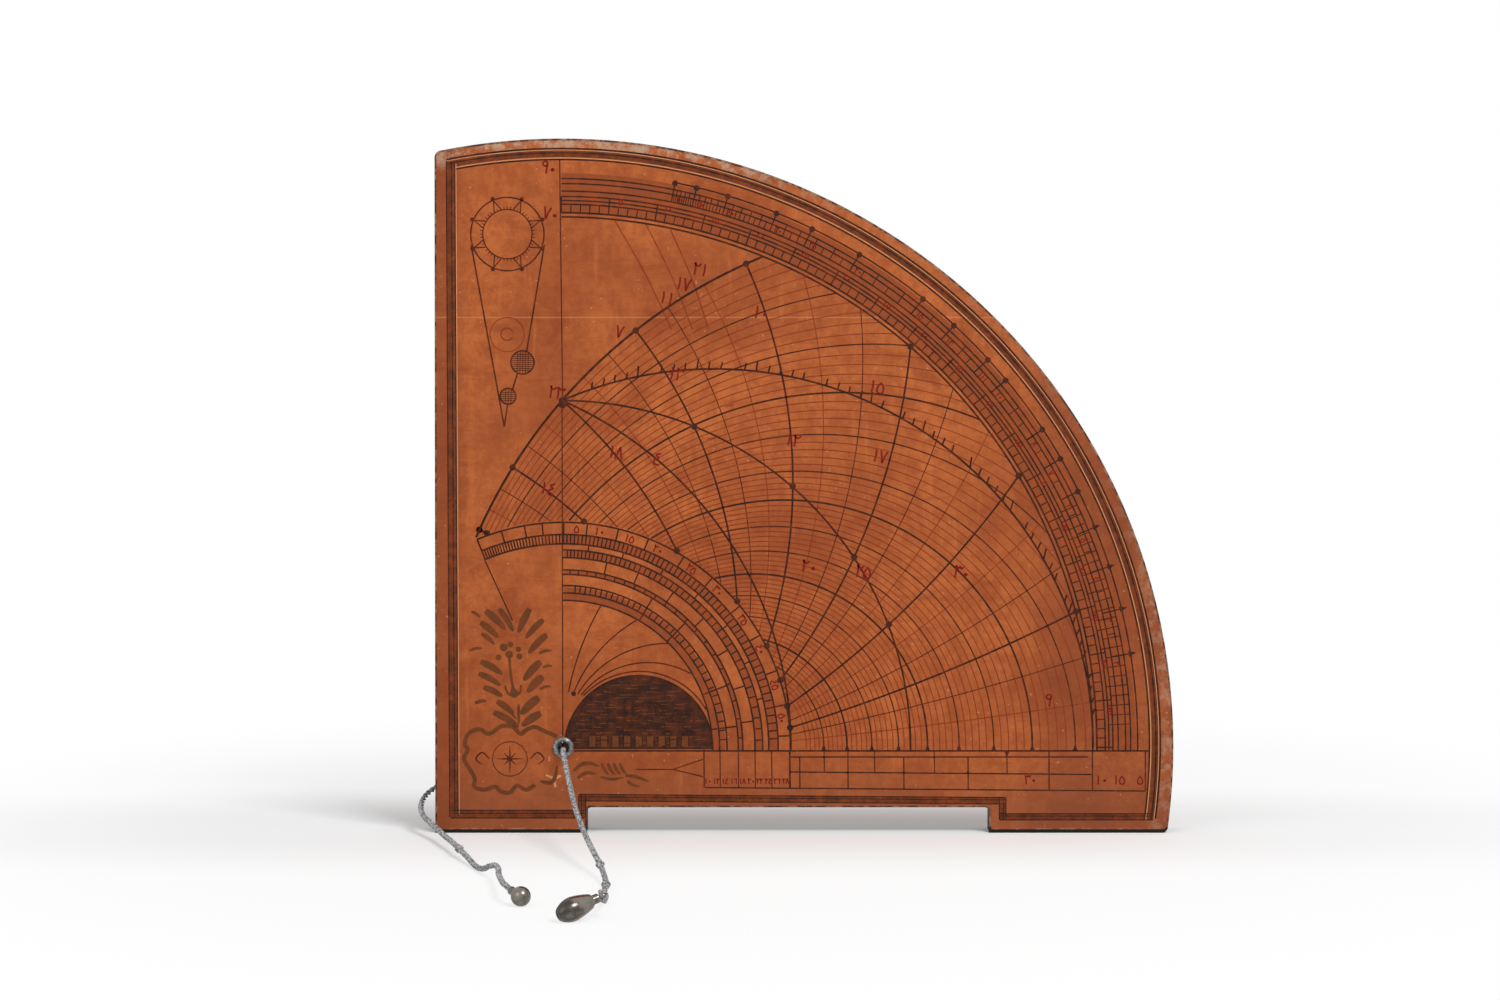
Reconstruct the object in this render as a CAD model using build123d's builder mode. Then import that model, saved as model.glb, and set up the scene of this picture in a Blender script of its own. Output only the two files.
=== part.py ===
"""Astrolabic quadrant: a lacquered wooden quarter-circle board that stands on the two
sight blocks of its lower edge, with a weighted plumb line through an eyelet at its apex.

Millimetres. +X runs along the lower edge, the painted front looks toward -Y, +Z is up.
The origin is on the floor, under the middle of the board's box.
"""

from build123d import *

import os
from math import atan2, degrees, pi, radians, sqrt, tan

os.makedirs("parts", exist_ok=True)

# Board
RIM_RADIUS = 190.0
RIM_CENTRE_DROP = 1.1
STRIP_WIDTH = 40.0
STRIP_LEAN = 0.8
APEX_HEIGHT = 26.9
BOARD_THICKNESS = 12.0
NOTCH_START = 7.3
NOTCH_LENGTH = 125.4
NOTCH_DEPTH = 8.0
NOTCH_CORNER_RADIUS = 1.5
TOP_CORNER_RADIUS = 2.2
FOOT_CORNER_RADIUS = 1.9
EDGE_ROUND = 0.5
BOARD_JOINT_HEIGHT = 160.7

# Painted facings
FACING_THICKNESS = 0.25
FACING_INSET = 0.6
FOOT_BAND = 1.2

# Eyelet
EYELET_BORE_RADIUS = 1.75
EYELET_WALL = 0.4
EYELET_FLANGE_RADIUS = 3.3
EYELET_LIP_HEIGHT = 0.9
WASHER_THICKNESS = 0.5
EYELET_FIT = 0.02

# Line
CORD_RADIUS = 0.9
LINE_REST_GAP = 0.1
PIVOT_STANDOFF = 1.2
PIVOT_GAP = 0.1
KNOT_RADIUS = 1.45
KNOT_LENGTH = 3.6
KNOT_LEAD = 4.0
LOOP_RADIUS = 1.5
LOOP_STRAND_RADIUS = 0.6
ARC_SHARE = 0.45

# Plummet
PLUMMET_RADIUS = 3.25
PLUMMET_NECK_RADIUS = 1.75
PLUMMET_NOSE_RADIUS = 1.6
PLUMMET_BACK_LENGTH = 5.7
PLUMMET_NOSE_LENGTH = 5.2
PLUMMET_TIP_LENGTH = 0.4
PLUMMET_TIP_RADIUS = 0.3
PLUMMET_BACK_BULGE = 0.18
PLUMMET_NOSE_BULGE = 0.55
PLUMMET_TIP_BULGE = 0.07
PLUMMET_WALL = 0.5
PLUMMET_CORE_FIT = 0.03
SEAM_PROUD = 0.15
SEAM_THICKNESS = 0.3
COLLAR_RADIUS = 1.35
COLLAR_LENGTH = 1.7
COLLAR_ROUND = 0.2
RING_RADIUS = 1.25
RING_WIRE_RADIUS = 0.45
RING_PLAY = 0.1

# Ball
BALL_RADIUS = 2.87
BALL_COLLAR_RADIUS = 1.25
BALL_COLLAR_LENGTH = 1.8
BALL_BORE_FIT = 0.05
BALL_BORE_DEPTH = 2.0
BALL_LEAD = 2.4

# Where the free ends of the line lie, from the apex in X and from the board's middle in Y
PLUMMET_EYE_XY = (17.2, -162.5)
PLUMMET_DIRECTION = (-0.822, -0.496, -0.283)
LINE_END_DIRECTION = (-0.02, -0.97, 0.24)
BALL_XY = (-6.4, -142.1)
BALL_AXIS = (0.66, -0.70, -0.27)

# Sizes that follow
APEX_X = (STRIP_WIDTH - RIM_RADIUS) / 2
FACE_Y = BOARD_THICKNESS / 2
CORE_Y = FACE_Y - FACING_THICKNESS
BARREL_RADIUS = EYELET_BORE_RADIUS + EYELET_WALL
BARREL_HOLE_RADIUS = BARREL_RADIUS + EYELET_FIT
LINE_HEIGHT = APEX_HEIGHT - EYELET_BORE_RADIUS + CORD_RADIUS + LINE_REST_GAP
PIVOT_Y = FACE_Y + EYELET_LIP_HEIGHT + PIVOT_STANDOFF
FRONT_PIVOT = Vector(APEX_X, -PIVOT_Y, LINE_HEIGHT)
BACK_PIVOT = Vector(APEX_X, PIVOT_Y, LINE_HEIGHT)

APEX_PLANE = Plane(origin=(APEX_X, 0, APEX_HEIGHT), x_dir=(1, 0, 0), z_dir=(0, -1, 0))
EYELET_SECTION = Plane(origin=(APEX_X, 0, APEX_HEIGHT), x_dir=(1, 0, 0), z_dir=(0, 0, 1))
EYELET_AXIS = Axis((APEX_X, 0, APEX_HEIGHT), (0, 1, 0))


def finish(piece, name):
    """Labels a finished piece and writes it out."""
    piece.part.label = name
    export_step(piece.part, f"parts/{name}.step")


def quadrant_outline(inset, foot_trim):
    """Draws the board's outline from the apex, brought in by inset and cut off above the feet."""
    top = RIM_RADIUS * 1.2
    foot = foot_trim - APEX_HEIGHT
    lean = STRIP_LEAN * (top - foot) / RIM_RADIUS
    left = inset - STRIP_WIDTH
    with Locations((0, -RIM_CENTRE_DROP)):
        Circle(RIM_RADIUS - inset)
    Polygon((left, foot), (top, foot), (top, top), (left + lean, top), align=None, mode=Mode.INTERSECT)
    with Locations((NOTCH_START + NOTCH_LENGTH / 2, -APEX_HEIGHT)):
        Rectangle(NOTCH_LENGTH + 2 * inset, 2 * (NOTCH_DEPTH + inset), mode=Mode.SUBTRACT)
    notch_top = NOTCH_DEPTH + inset - APEX_HEIGHT
    notch_corners = [v for v in vertices() if abs(v.Y - notch_top) < EDGE_ROUND / 2]
    fillet(notch_corners, radius=NOTCH_CORNER_RADIUS)
    fillet(vertices().sort_by(Axis.Y)[-1], radius=TOP_CORNER_RADIUS - inset)
    fillet(vertices().group_by(Axis.Y)[0].sort_by(Axis.X)[-1], radius=FOOT_CORNER_RADIUS - inset)


# Core of two boards glued edge to edge, with the sight blocks cut from the lower one
for board_name, joint_side in (("core_lower_board", Align.MAX), ("core_upper_board", Align.MIN)):
    with BuildPart() as board:
        with BuildSketch(APEX_PLANE):
            quadrant_outline(0, 0)
            with Locations((0, BOARD_JOINT_HEIGHT - APEX_HEIGHT)):
                beside_joint = (Align.CENTER, joint_side)
                Rectangle(3 * RIM_RADIUS, 2 * RIM_RADIUS, align=beside_joint, mode=Mode.INTERSECT)
        extrude(amount=CORE_Y, both=True)
        front_edges = board.faces().sort_by(Axis.Y)[0].outer_wire().edges()
        back_edges = board.faces().sort_by(Axis.Y)[-1].outer_wire().edges()
        edges_round = front_edges + back_edges
        free_edges = [e for e in edges_round if abs(e.center().Z - BOARD_JOINT_HEIGHT) > EDGE_ROUND]
        fillet(free_edges, radius=EDGE_ROUND)
        with BuildSketch(APEX_PLANE):
            Circle(BARREL_HOLE_RADIUS)
        extrude(amount=CORE_Y, both=True, mode=Mode.SUBTRACT)
    finish(board, board_name)

# Painted and varnished paper facings, trimmed to the flat inside the rounded edges
for facing_name, facing_start in (("front_facing", CORE_Y), ("back_facing", -FACE_Y)):
    with BuildPart() as facing:
        with BuildSketch(APEX_PLANE.offset(facing_start)):
            quadrant_outline(FACING_INSET, FOOT_BAND)
            Circle(BARREL_HOLE_RADIUS, mode=Mode.SUBTRACT)
        extrude(amount=FACING_THICKNESS)
    finish(facing, facing_name)

# Eyelet: a barrel through the board with a rolled front flange and a lip turned over at the back
lip_middle = (EYELET_BORE_RADIUS + EYELET_FLANGE_RADIUS) / 2
lip_half_width = (EYELET_FLANGE_RADIUS - EYELET_BORE_RADIUS) / 2
back_lip_height = EYELET_LIP_HEIGHT - WASHER_THICKNESS
with BuildPart() as eyelet_barrel:
    with BuildSketch(EYELET_SECTION):
        with Locations((lip_middle, -FACE_Y)):
            Ellipse(lip_half_width, EYELET_LIP_HEIGHT)
        with Locations((lip_middle, 0)):
            Rectangle(2 * EYELET_FLANGE_RADIUS, 2 * FACE_Y, mode=Mode.SUBTRACT)
        with Locations((EYELET_BORE_RADIUS + EYELET_WALL, FACE_Y + WASHER_THICKNESS)):
            Ellipse(EYELET_WALL, back_lip_height)
            Rectangle(2 * EYELET_WALL, back_lip_height, align=(Align.CENTER, Align.MAX), mode=Mode.SUBTRACT)
        with Locations((EYELET_BORE_RADIUS + EYELET_WALL / 2, WASHER_THICKNESS / 2)):
            Rectangle(EYELET_WALL, 2 * FACE_Y + WASHER_THICKNESS)
    revolve(axis=EYELET_AXIS)
finish(eyelet_barrel, "eyelet_barrel")

with BuildPart() as eyelet_washer:
    with BuildSketch(APEX_PLANE.offset(-FACE_Y - WASHER_THICKNESS)):
        Circle(EYELET_FLANGE_RADIUS)
        Circle(BARREL_HOLE_RADIUS, mode=Mode.SUBTRACT)
    extrude(amount=WASHER_THICKNESS)
    outer_edge = eyelet_washer.faces().sort_by(Axis.Y)[-1].outer_wire().edges()
    fillet(outer_edge, radius=WASHER_THICKNESS / 2)
finish(eyelet_washer, "eyelet_washer")


def cord_run(points, name):
    """Sweeps the cord along straight runs joined by arcs as large as the runs allow."""
    corners = [Vector(p) for p in points]
    radii = []
    for before, corner, after in zip(corners, corners[1:], corners[2:]):
        turn = (corner - before).get_angle(after - corner)
        shorter = min((corner - before).length, (after - corner).length)
        radii.append(ARC_SHARE * shorter / tan(radians(turn) / 2))
    with BuildPart() as run:
        with BuildLine() as path:
            FilletPolyline(*corners, radius=radii)
        route = path.wire()
        with BuildSketch(Plane(origin=route @ 0, z_dir=route % 0)):
            Circle(CORD_RADIUS)
        sweep(path=route)
    finish(run, name)
    section = pi * CORD_RADIUS**2
    ratio = run.part.volume / (section * route.length)
    print(name, "length", round(route.length, 1), "volume ratio", round(ratio, 4))
    print("  radii", [round(r, 1) for r in radii])


def knot_profile():
    """Draws half of a knot's long section: the cord's radius at both ends and the bulge between."""
    half = KNOT_LENGTH / 2
    with BuildLine() as outline:
        Line((0, -half), (0, half))
        Line((0, half), (CORD_RADIUS, half))
        ThreePointArc((CORD_RADIUS, half), (KNOT_RADIUS, 0), (CORD_RADIUS, -half))
        Line((CORD_RADIUS, -half), (0, -half))
    make_face(outline.edges())


def knot_on(centre, direction):
    """Gives the plane that holds the long section of a knot tied at centre."""
    along = Vector(direction).normalized()
    across = along.cross(Vector(0, 0, 1)).normalized()
    return Plane(origin=centre, x_dir=across, z_dir=across.cross(along))


def from_apex(x, y, z):
    """Turns a place given from the apex's upright into the part's own frame."""
    return Vector(APEX_X + x, y, z)


# The stretch of cord inside the eyelet, with a round end at each mouth
with BuildPart() as line_in_eyelet:
    end_y = PIVOT_Y + CORD_RADIUS
    bulge = CORD_RADIUS / sqrt(2)
    with BuildSketch(Plane(origin=(APEX_X, 0, LINE_HEIGHT), x_dir=(1, 0, 0), z_dir=(0, 0, 1))):
        with BuildLine():
            Line((0, -end_y), (0, end_y))
            ThreePointArc((0, end_y), (bulge, PIVOT_Y + bulge), (CORD_RADIUS, PIVOT_Y))
            Line((CORD_RADIUS, PIVOT_Y), (CORD_RADIUS, -PIVOT_Y))
            ThreePointArc((CORD_RADIUS, -PIVOT_Y), (bulge, -PIVOT_Y - bulge), (0, -end_y))
        make_face()
    revolve(axis=Axis((APEX_X, 0, LINE_HEIGHT), (0, 1, 0)))
finish(line_in_eyelet, "line_in_eyelet")

# Plummet: its own frame has z along the axis toward the nose and y along the ring's axis
nose_way = Vector(PLUMMET_DIRECTION).normalized()
line_way = Vector(LINE_END_DIRECTION).normalized()
ring_axis = nose_way.cross(line_way).normalized()
ring_centre_z = RING_RADIUS - (RING_WIRE_RADIUS + LOOP_STRAND_RADIUS + RING_PLAY)
collar_start_z = ring_centre_z + RING_RADIUS
collar_end_z = collar_start_z + RING_WIRE_RADIUS + COLLAR_LENGTH
widest_z = collar_end_z + PLUMMET_BACK_LENGTH
nose_z = widest_z + PLUMMET_NOSE_LENGTH
tip_z = nose_z + PLUMMET_TIP_LENGTH


def plummet_section(growth, mode=Mode.ADD):
    """Draws half of the plummet body's long section, grown or shrunk by a wall."""
    corner_growth = growth / sqrt(2)
    neck = (PLUMMET_NECK_RADIUS + growth, collar_end_z - growth)
    widest = (PLUMMET_RADIUS + growth, widest_z)
    nose = (PLUMMET_NOSE_RADIUS + corner_growth, nose_z + corner_growth)
    tip = (PLUMMET_TIP_RADIUS, tip_z + growth)
    with BuildLine() as outline:
        Line((0, neck[1]), neck)
        SagittaArc(neck, widest, -PLUMMET_BACK_BULGE)
        SagittaArc(widest, nose, -PLUMMET_NOSE_BULGE)
        SagittaArc(nose, tip, -PLUMMET_TIP_BULGE)
        Line(tip, (0, tip[1]))
        Line((0, tip[1]), (0, neck[1]))
    make_face(outline.edges(), mode=mode)


def plummet_plane(origin):
    """Gives the plummet's section plane at an origin: x across, y along the axis to the nose."""
    across = ring_axis.cross(nose_way)
    return Plane(origin=origin, x_dir=across, z_dir=across.cross(nose_way))


# A blank of the body, laid at its slant, tells how high the eye stands when the body lies on the floor
with BuildPart() as plummet_blank:
    with BuildSketch(plummet_plane((0, 0, 0))):
        plummet_section(SEAM_PROUD)
    revolve(axis=Axis((0, 0, 0), nose_way))
EYE_HEIGHT = -plummet_blank.part.bounding_box().min.Z
EYE = from_apex(*PLUMMET_EYE_XY, EYE_HEIGHT)
PLUMMET_AXIS = Axis(EYE, nose_way)
SECTION = plummet_plane(EYE)

# Half shells with narrow flanges that meet in the seam, which stands square to the front view
seam_normal = (Vector(0, -1, 0) - nose_way * Vector(0, -1, 0).dot(nose_way)).normalized()
SEAM_PLANE = Plane(origin=EYE, x_dir=nose_way.cross(seam_normal), z_dir=seam_normal)

for shell_name, kept_side in (("plummet_front_shell", Keep.TOP), ("plummet_back_shell", Keep.BOTTOM)):
    with BuildPart() as shell:
        with BuildSketch(SECTION):
            plummet_section(0)
        revolve(axis=PLUMMET_AXIS)
        with BuildSketch(SEAM_PLANE):
            plummet_section(SEAM_PROUD)
            with Locations((0, collar_end_z)):
                neck_end = (Align.CENTER, Align.MAX)
                Rectangle(2 * PLUMMET_RADIUS, PLUMMET_RADIUS, align=neck_end, mode=Mode.SUBTRACT)
            mirror(about=Plane.YZ)
        extrude(amount=SEAM_THICKNESS / 2, both=True)
        with BuildSketch(SECTION):
            plummet_section(-PLUMMET_WALL)
        revolve(axis=PLUMMET_AXIS, mode=Mode.SUBTRACT)
        split(bisect_by=SEAM_PLANE, keep=kept_side)
    finish(shell, shell_name)

with BuildPart() as plummet_core:
    with BuildSketch(SECTION):
        plummet_section(-PLUMMET_WALL - PLUMMET_CORE_FIT)
    revolve(axis=PLUMMET_AXIS)
finish(plummet_core, "plummet_core")

RING_PLACE = Plane(origin=EYE + nose_way * ring_centre_z, x_dir=nose_way, z_dir=ring_axis)
with BuildPart() as plummet_ring:
    with Locations(RING_PLACE):
        Torus(RING_RADIUS, RING_WIRE_RADIUS)
finish(plummet_ring, "plummet_ring")

with BuildPart() as plummet_collar:
    with BuildSketch(Plane(origin=EYE + nose_way * collar_start_z, z_dir=nose_way)):
        Circle(COLLAR_RADIUS)
    extrude(amount=collar_end_z - collar_start_z)
    fillet(plummet_collar.edges().filter_by(GeomType.CIRCLE), radius=COLLAR_ROUND)
    with Locations(RING_PLACE):
        Torus(RING_RADIUS, RING_WIRE_RADIUS, mode=Mode.SUBTRACT)
finish(plummet_collar, "plummet_collar")

# Knotted loop that holds the plummet's ring
loop_end = EYE - line_way * (2 * LOOP_RADIUS)
loop_knot_centre = loop_end - line_way * (KNOT_LENGTH / 2)
loop_across = line_way.cross(ring_axis)
with BuildPart() as plumb_line_loop:
    with Locations(Plane(origin=EYE - line_way * LOOP_RADIUS, x_dir=line_way, z_dir=loop_across)):
        Torus(LOOP_RADIUS, LOOP_STRAND_RADIUS)
    loop_knot_plane = knot_on(loop_knot_centre, line_way)
    with BuildSketch(loop_knot_plane):
        knot_profile()
    revolve(axis=Axis(loop_knot_centre, line_way))
finish(plumb_line_loop, "plumb_line_loop")

# Front line, from the eyelet down to the floor and along it to the loop
FRONT_KNOT = from_apex(14.4, -91.5, 3.8)
front_upper = [
    from_apex(0.7, -14.5, 24.4),
    from_apex(2.0, -23.5, 21.1),
    from_apex(3.5, -34.5, 17.5),
    from_apex(5.3, -47.5, 13.8),
    from_apex(8.2, -63.0, 9.8),
    from_apex(11.2, -77.5, 6.5),
]
first_way = (front_upper[0] - FRONT_PIVOT).normalized()
knot_way = (FRONT_KNOT - front_upper[-1]).normalized()
front_start = FRONT_PIVOT + first_way * (CORD_RADIUS + PIVOT_GAP)
cord_run([front_start, *front_upper, FRONT_KNOT - knot_way * (KNOT_LENGTH / 2)], "plumb_line_upper")

with BuildPart() as plumb_line_knot:
    with BuildSketch(knot_on(FRONT_KNOT, knot_way)):
        knot_profile()
    revolve(axis=Axis(FRONT_KNOT, knot_way))
finish(plumb_line_knot, "plumb_line_knot")

knot_exit = FRONT_KNOT + knot_way * (KNOT_LENGTH / 2)
line_end = loop_knot_centre - line_way * (KNOT_LENGTH / 2)
front_lower = [
    from_apex(16.2, -105.0, 1.9),
    from_apex(16.8, -113.5, 1.05),
    from_apex(16.4, -123.0, 0.95),
    from_apex(16.9, -133.0, 1.0),
    from_apex(16.9, -142.5, 1.55),
]
cord_run(
    [knot_exit, knot_exit + knot_way * KNOT_LEAD, *front_lower, line_end - line_way * KNOT_LEAD, line_end],
    "plumb_line_lower",
)

# Ball and its collar on the other end of the line
ball_way = Vector(BALL_AXIS).normalized()
BALL_CENTRE = from_apex(*BALL_XY, BALL_RADIUS)
BALL_BORE_RADIUS = CORD_RADIUS + BALL_BORE_FIT
bore_end = BALL_CENTRE - ball_way * (BALL_RADIUS - BALL_BORE_DEPTH)
collar_foot = BALL_CENTRE - ball_way * sqrt(BALL_RADIUS**2 - BALL_COLLAR_RADIUS**2)
collar_mouth = collar_foot - ball_way * BALL_COLLAR_LENGTH
collar_length = (bore_end - collar_mouth).length

with BuildPart() as ball_weight:
    with Locations(Plane(origin=BALL_CENTRE, z_dir=ball_way)):
        Sphere(BALL_RADIUS)
    with BuildSketch(Plane(origin=bore_end, z_dir=-ball_way)):
        Circle(BALL_BORE_RADIUS)
    extrude(amount=collar_length, mode=Mode.SUBTRACT)
finish(ball_weight, "ball_weight")

with BuildPart() as ball_collar:
    with BuildSketch(Plane(origin=collar_mouth, z_dir=ball_way)):
        Circle(BALL_COLLAR_RADIUS)
    extrude(amount=(BALL_CENTRE - collar_mouth).length)
    with Locations(Plane(origin=BALL_CENTRE, z_dir=ball_way)):
        Sphere(BALL_RADIUS, mode=Mode.SUBTRACT)
    with BuildSketch(Plane(origin=collar_mouth, z_dir=ball_way)):
        Circle(BALL_BORE_RADIUS)
    extrude(amount=(BALL_CENTRE - collar_mouth).length, mode=Mode.SUBTRACT)
finish(ball_collar, "ball_collar")

# Back line, out of the eyelet, round the board's left edge and forward to the ball
BACK_KNOT = from_apex(-29.4, -55.1, 2.9)
back_upper = [
    from_apex(-3.2, 10.6, 25.8),
    from_apex(-8.8, 12.0, 24.5),
    from_apex(-17.5, 12.2, 21.6),
    from_apex(-27.0, 11.5, 17.8),
    from_apex(-35.8, 10.4, 14.4),
    from_apex(-41.6, 8.2, 12.0),
    from_apex(-44.5, 3.8, 9.5),
    from_apex(-44.9, -1.8, 7.2),
    from_apex(-43.6, -7.6, 5.7),
    from_apex(-41.2, -14.2, 4.7),
    from_apex(-38.0, -23.0, 3.8),
    from_apex(-35.2, -33.5, 3.3),
    from_apex(-32.0, -44.5, 3.1),
]
back_way = (back_upper[0] - BACK_PIVOT).normalized()
back_knot_way = (BACK_KNOT - back_upper[-1]).normalized()
back_start = BACK_PIVOT + back_way * (CORD_RADIUS + PIVOT_GAP)
cord_run([back_start, *back_upper, BACK_KNOT - back_knot_way * (KNOT_LENGTH / 2)], "back_line_upper")

with BuildPart() as back_line_knot:
    with BuildSketch(knot_on(BACK_KNOT, back_knot_way)):
        knot_profile()
    revolve(axis=Axis(BACK_KNOT, back_knot_way))
finish(back_line_knot, "back_line_knot")

back_exit = BACK_KNOT + back_knot_way * (KNOT_LENGTH / 2)
back_lower = [
    from_apex(-25.6, -67.8, 1.75),
    from_apex(-23.8, -74.8, 1.15),
    from_apex(-21.9, -81.0, 1.0),
    from_apex(-20.0, -86.4, 1.7),
    from_apex(-18.2, -90.6, 3.3),
    from_apex(-16.1, -94.6, 4.2),
    from_apex(-14.9, -100.4, 4.0),
    from_apex(-14.6, -108.4, 3.8),
    from_apex(-13.2, -118.2, 3.6),
    from_apex(-12.2, -127.0, 4.1),
    from_apex(-11.4, -133.6, 4.9),
]
back_lead = collar_mouth - ball_way * BALL_LEAD
cord_run(
    [back_exit, back_exit + back_knot_way * KNOT_LEAD, *back_lower, back_lead, bore_end],
    "back_line_lower",
)

front_chord = EYE - FRONT_PIVOT
print("front line falls", round(degrees(atan2(-front_chord.Z, -front_chord.Y)), 1), "degrees to the eye")
print("eye at", EYE, "ring axis", ring_axis, "ball", BALL_CENTRE, "ball axis", ball_way)
print("front pivot", FRONT_PIVOT, "back pivot", BACK_PIVOT)
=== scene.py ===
"""Looks of an astrolabic quadrant: its painted board, drawn scales, eyelet, thread and weights.

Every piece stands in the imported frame: metres, +X along the lower edge, the painted front toward -Y,
+Z up. The drawings on the two sides are laid out flat in millimetres from the apex and then stood up.
"""

from __future__ import annotations

import logging
import math
from collections.abc import Callable
from dataclasses import dataclass
from enum import Enum

import bmesh
import bpy
from mathutils import Matrix, Vector

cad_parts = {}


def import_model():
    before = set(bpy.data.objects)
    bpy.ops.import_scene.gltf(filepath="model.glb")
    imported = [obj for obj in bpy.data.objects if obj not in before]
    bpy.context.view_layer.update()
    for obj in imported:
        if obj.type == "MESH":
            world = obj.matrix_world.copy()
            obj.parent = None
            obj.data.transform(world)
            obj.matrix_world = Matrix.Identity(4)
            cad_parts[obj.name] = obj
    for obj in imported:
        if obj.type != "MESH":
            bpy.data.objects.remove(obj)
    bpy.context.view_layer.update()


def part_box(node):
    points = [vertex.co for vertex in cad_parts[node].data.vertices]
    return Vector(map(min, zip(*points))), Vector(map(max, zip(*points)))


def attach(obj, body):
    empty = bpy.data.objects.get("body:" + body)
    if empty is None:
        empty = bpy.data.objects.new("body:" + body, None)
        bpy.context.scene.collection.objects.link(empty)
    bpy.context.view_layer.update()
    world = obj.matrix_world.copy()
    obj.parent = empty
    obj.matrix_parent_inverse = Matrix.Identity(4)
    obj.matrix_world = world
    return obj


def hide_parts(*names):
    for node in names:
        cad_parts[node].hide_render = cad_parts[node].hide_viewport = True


LOG = logging.getLogger("quadrant")
MM = 0.001

Point = tuple[float, float]
Place = tuple[float, float, float]
Colour = tuple[float, float, float]
Value = bpy.types.NodeSocket | float | Colour
Field = Callable[[Point], bool]

APEX: Point = (0.0, 0.0)
BASELINE = -1.1


class Side(Enum):
    """The two painted sides of the board."""

    FRONT = "front"
    BACK = "back"


@dataclass(frozen=True)
class BoardPlace:
    """Where the board stands, in metres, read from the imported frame."""

    apex_x: float
    apex_z: float
    front_y: float
    back_y: float

    @classmethod
    def from_frame(cls) -> BoardPlace:
        """Reads the eyelet's middle and the two painted faces from the frame.

        Returns:
            The board's place.
        """
        eyelet_low, eyelet_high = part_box("eyelet_barrel")
        middle = (eyelet_low + eyelet_high) / 2
        return cls(middle.x, middle.z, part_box("front_facing")[0].y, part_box("back_facing")[1].y)

    def stand(self, side: Side) -> Matrix:
        """Gives the matrix that stands a flat drawing in millimetres on one side.

        Args:
            side: The side that the drawing goes on.

        Returns:
            The matrix from the flat drawing to the frame.
        """
        flat_to_upright = Matrix.Rotation(math.radians(90), 4, "X") @ Matrix.Scale(MM, 4)
        if side is Side.FRONT:
            return Matrix.Translation((self.apex_x, self.front_y, self.apex_z)) @ flat_to_upright
        turned = Matrix.Rotation(math.radians(180), 4, "Z") @ flat_to_upright
        return Matrix.Translation((self.apex_x, self.back_y, self.apex_z)) @ turned


def only(piece: bpy.types.Object) -> None:
    """Leaves one object selected and active.

    Args:
        piece: The object to work on.
    """
    bpy.ops.object.select_all(action="DESELECT")
    piece.select_set(True)
    bpy.context.view_layer.objects.active = piece


def settle(piece: bpy.types.Object, name: str, body: str) -> None:
    """Names a piece, moves its place into its mesh and makes it ride on a body.

    Args:
        piece: The piece to settle.
        name: The piece's name.
        body: The body that it moves with.
    """
    only(piece)
    bpy.ops.object.transform_apply(location=True, rotation=True, scale=True)
    piece.name = name
    piece.data.name = name
    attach(piece, body)
    LOG.info("%s: %d faces on %s", name, len(piece.data.polygons), body)


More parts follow.
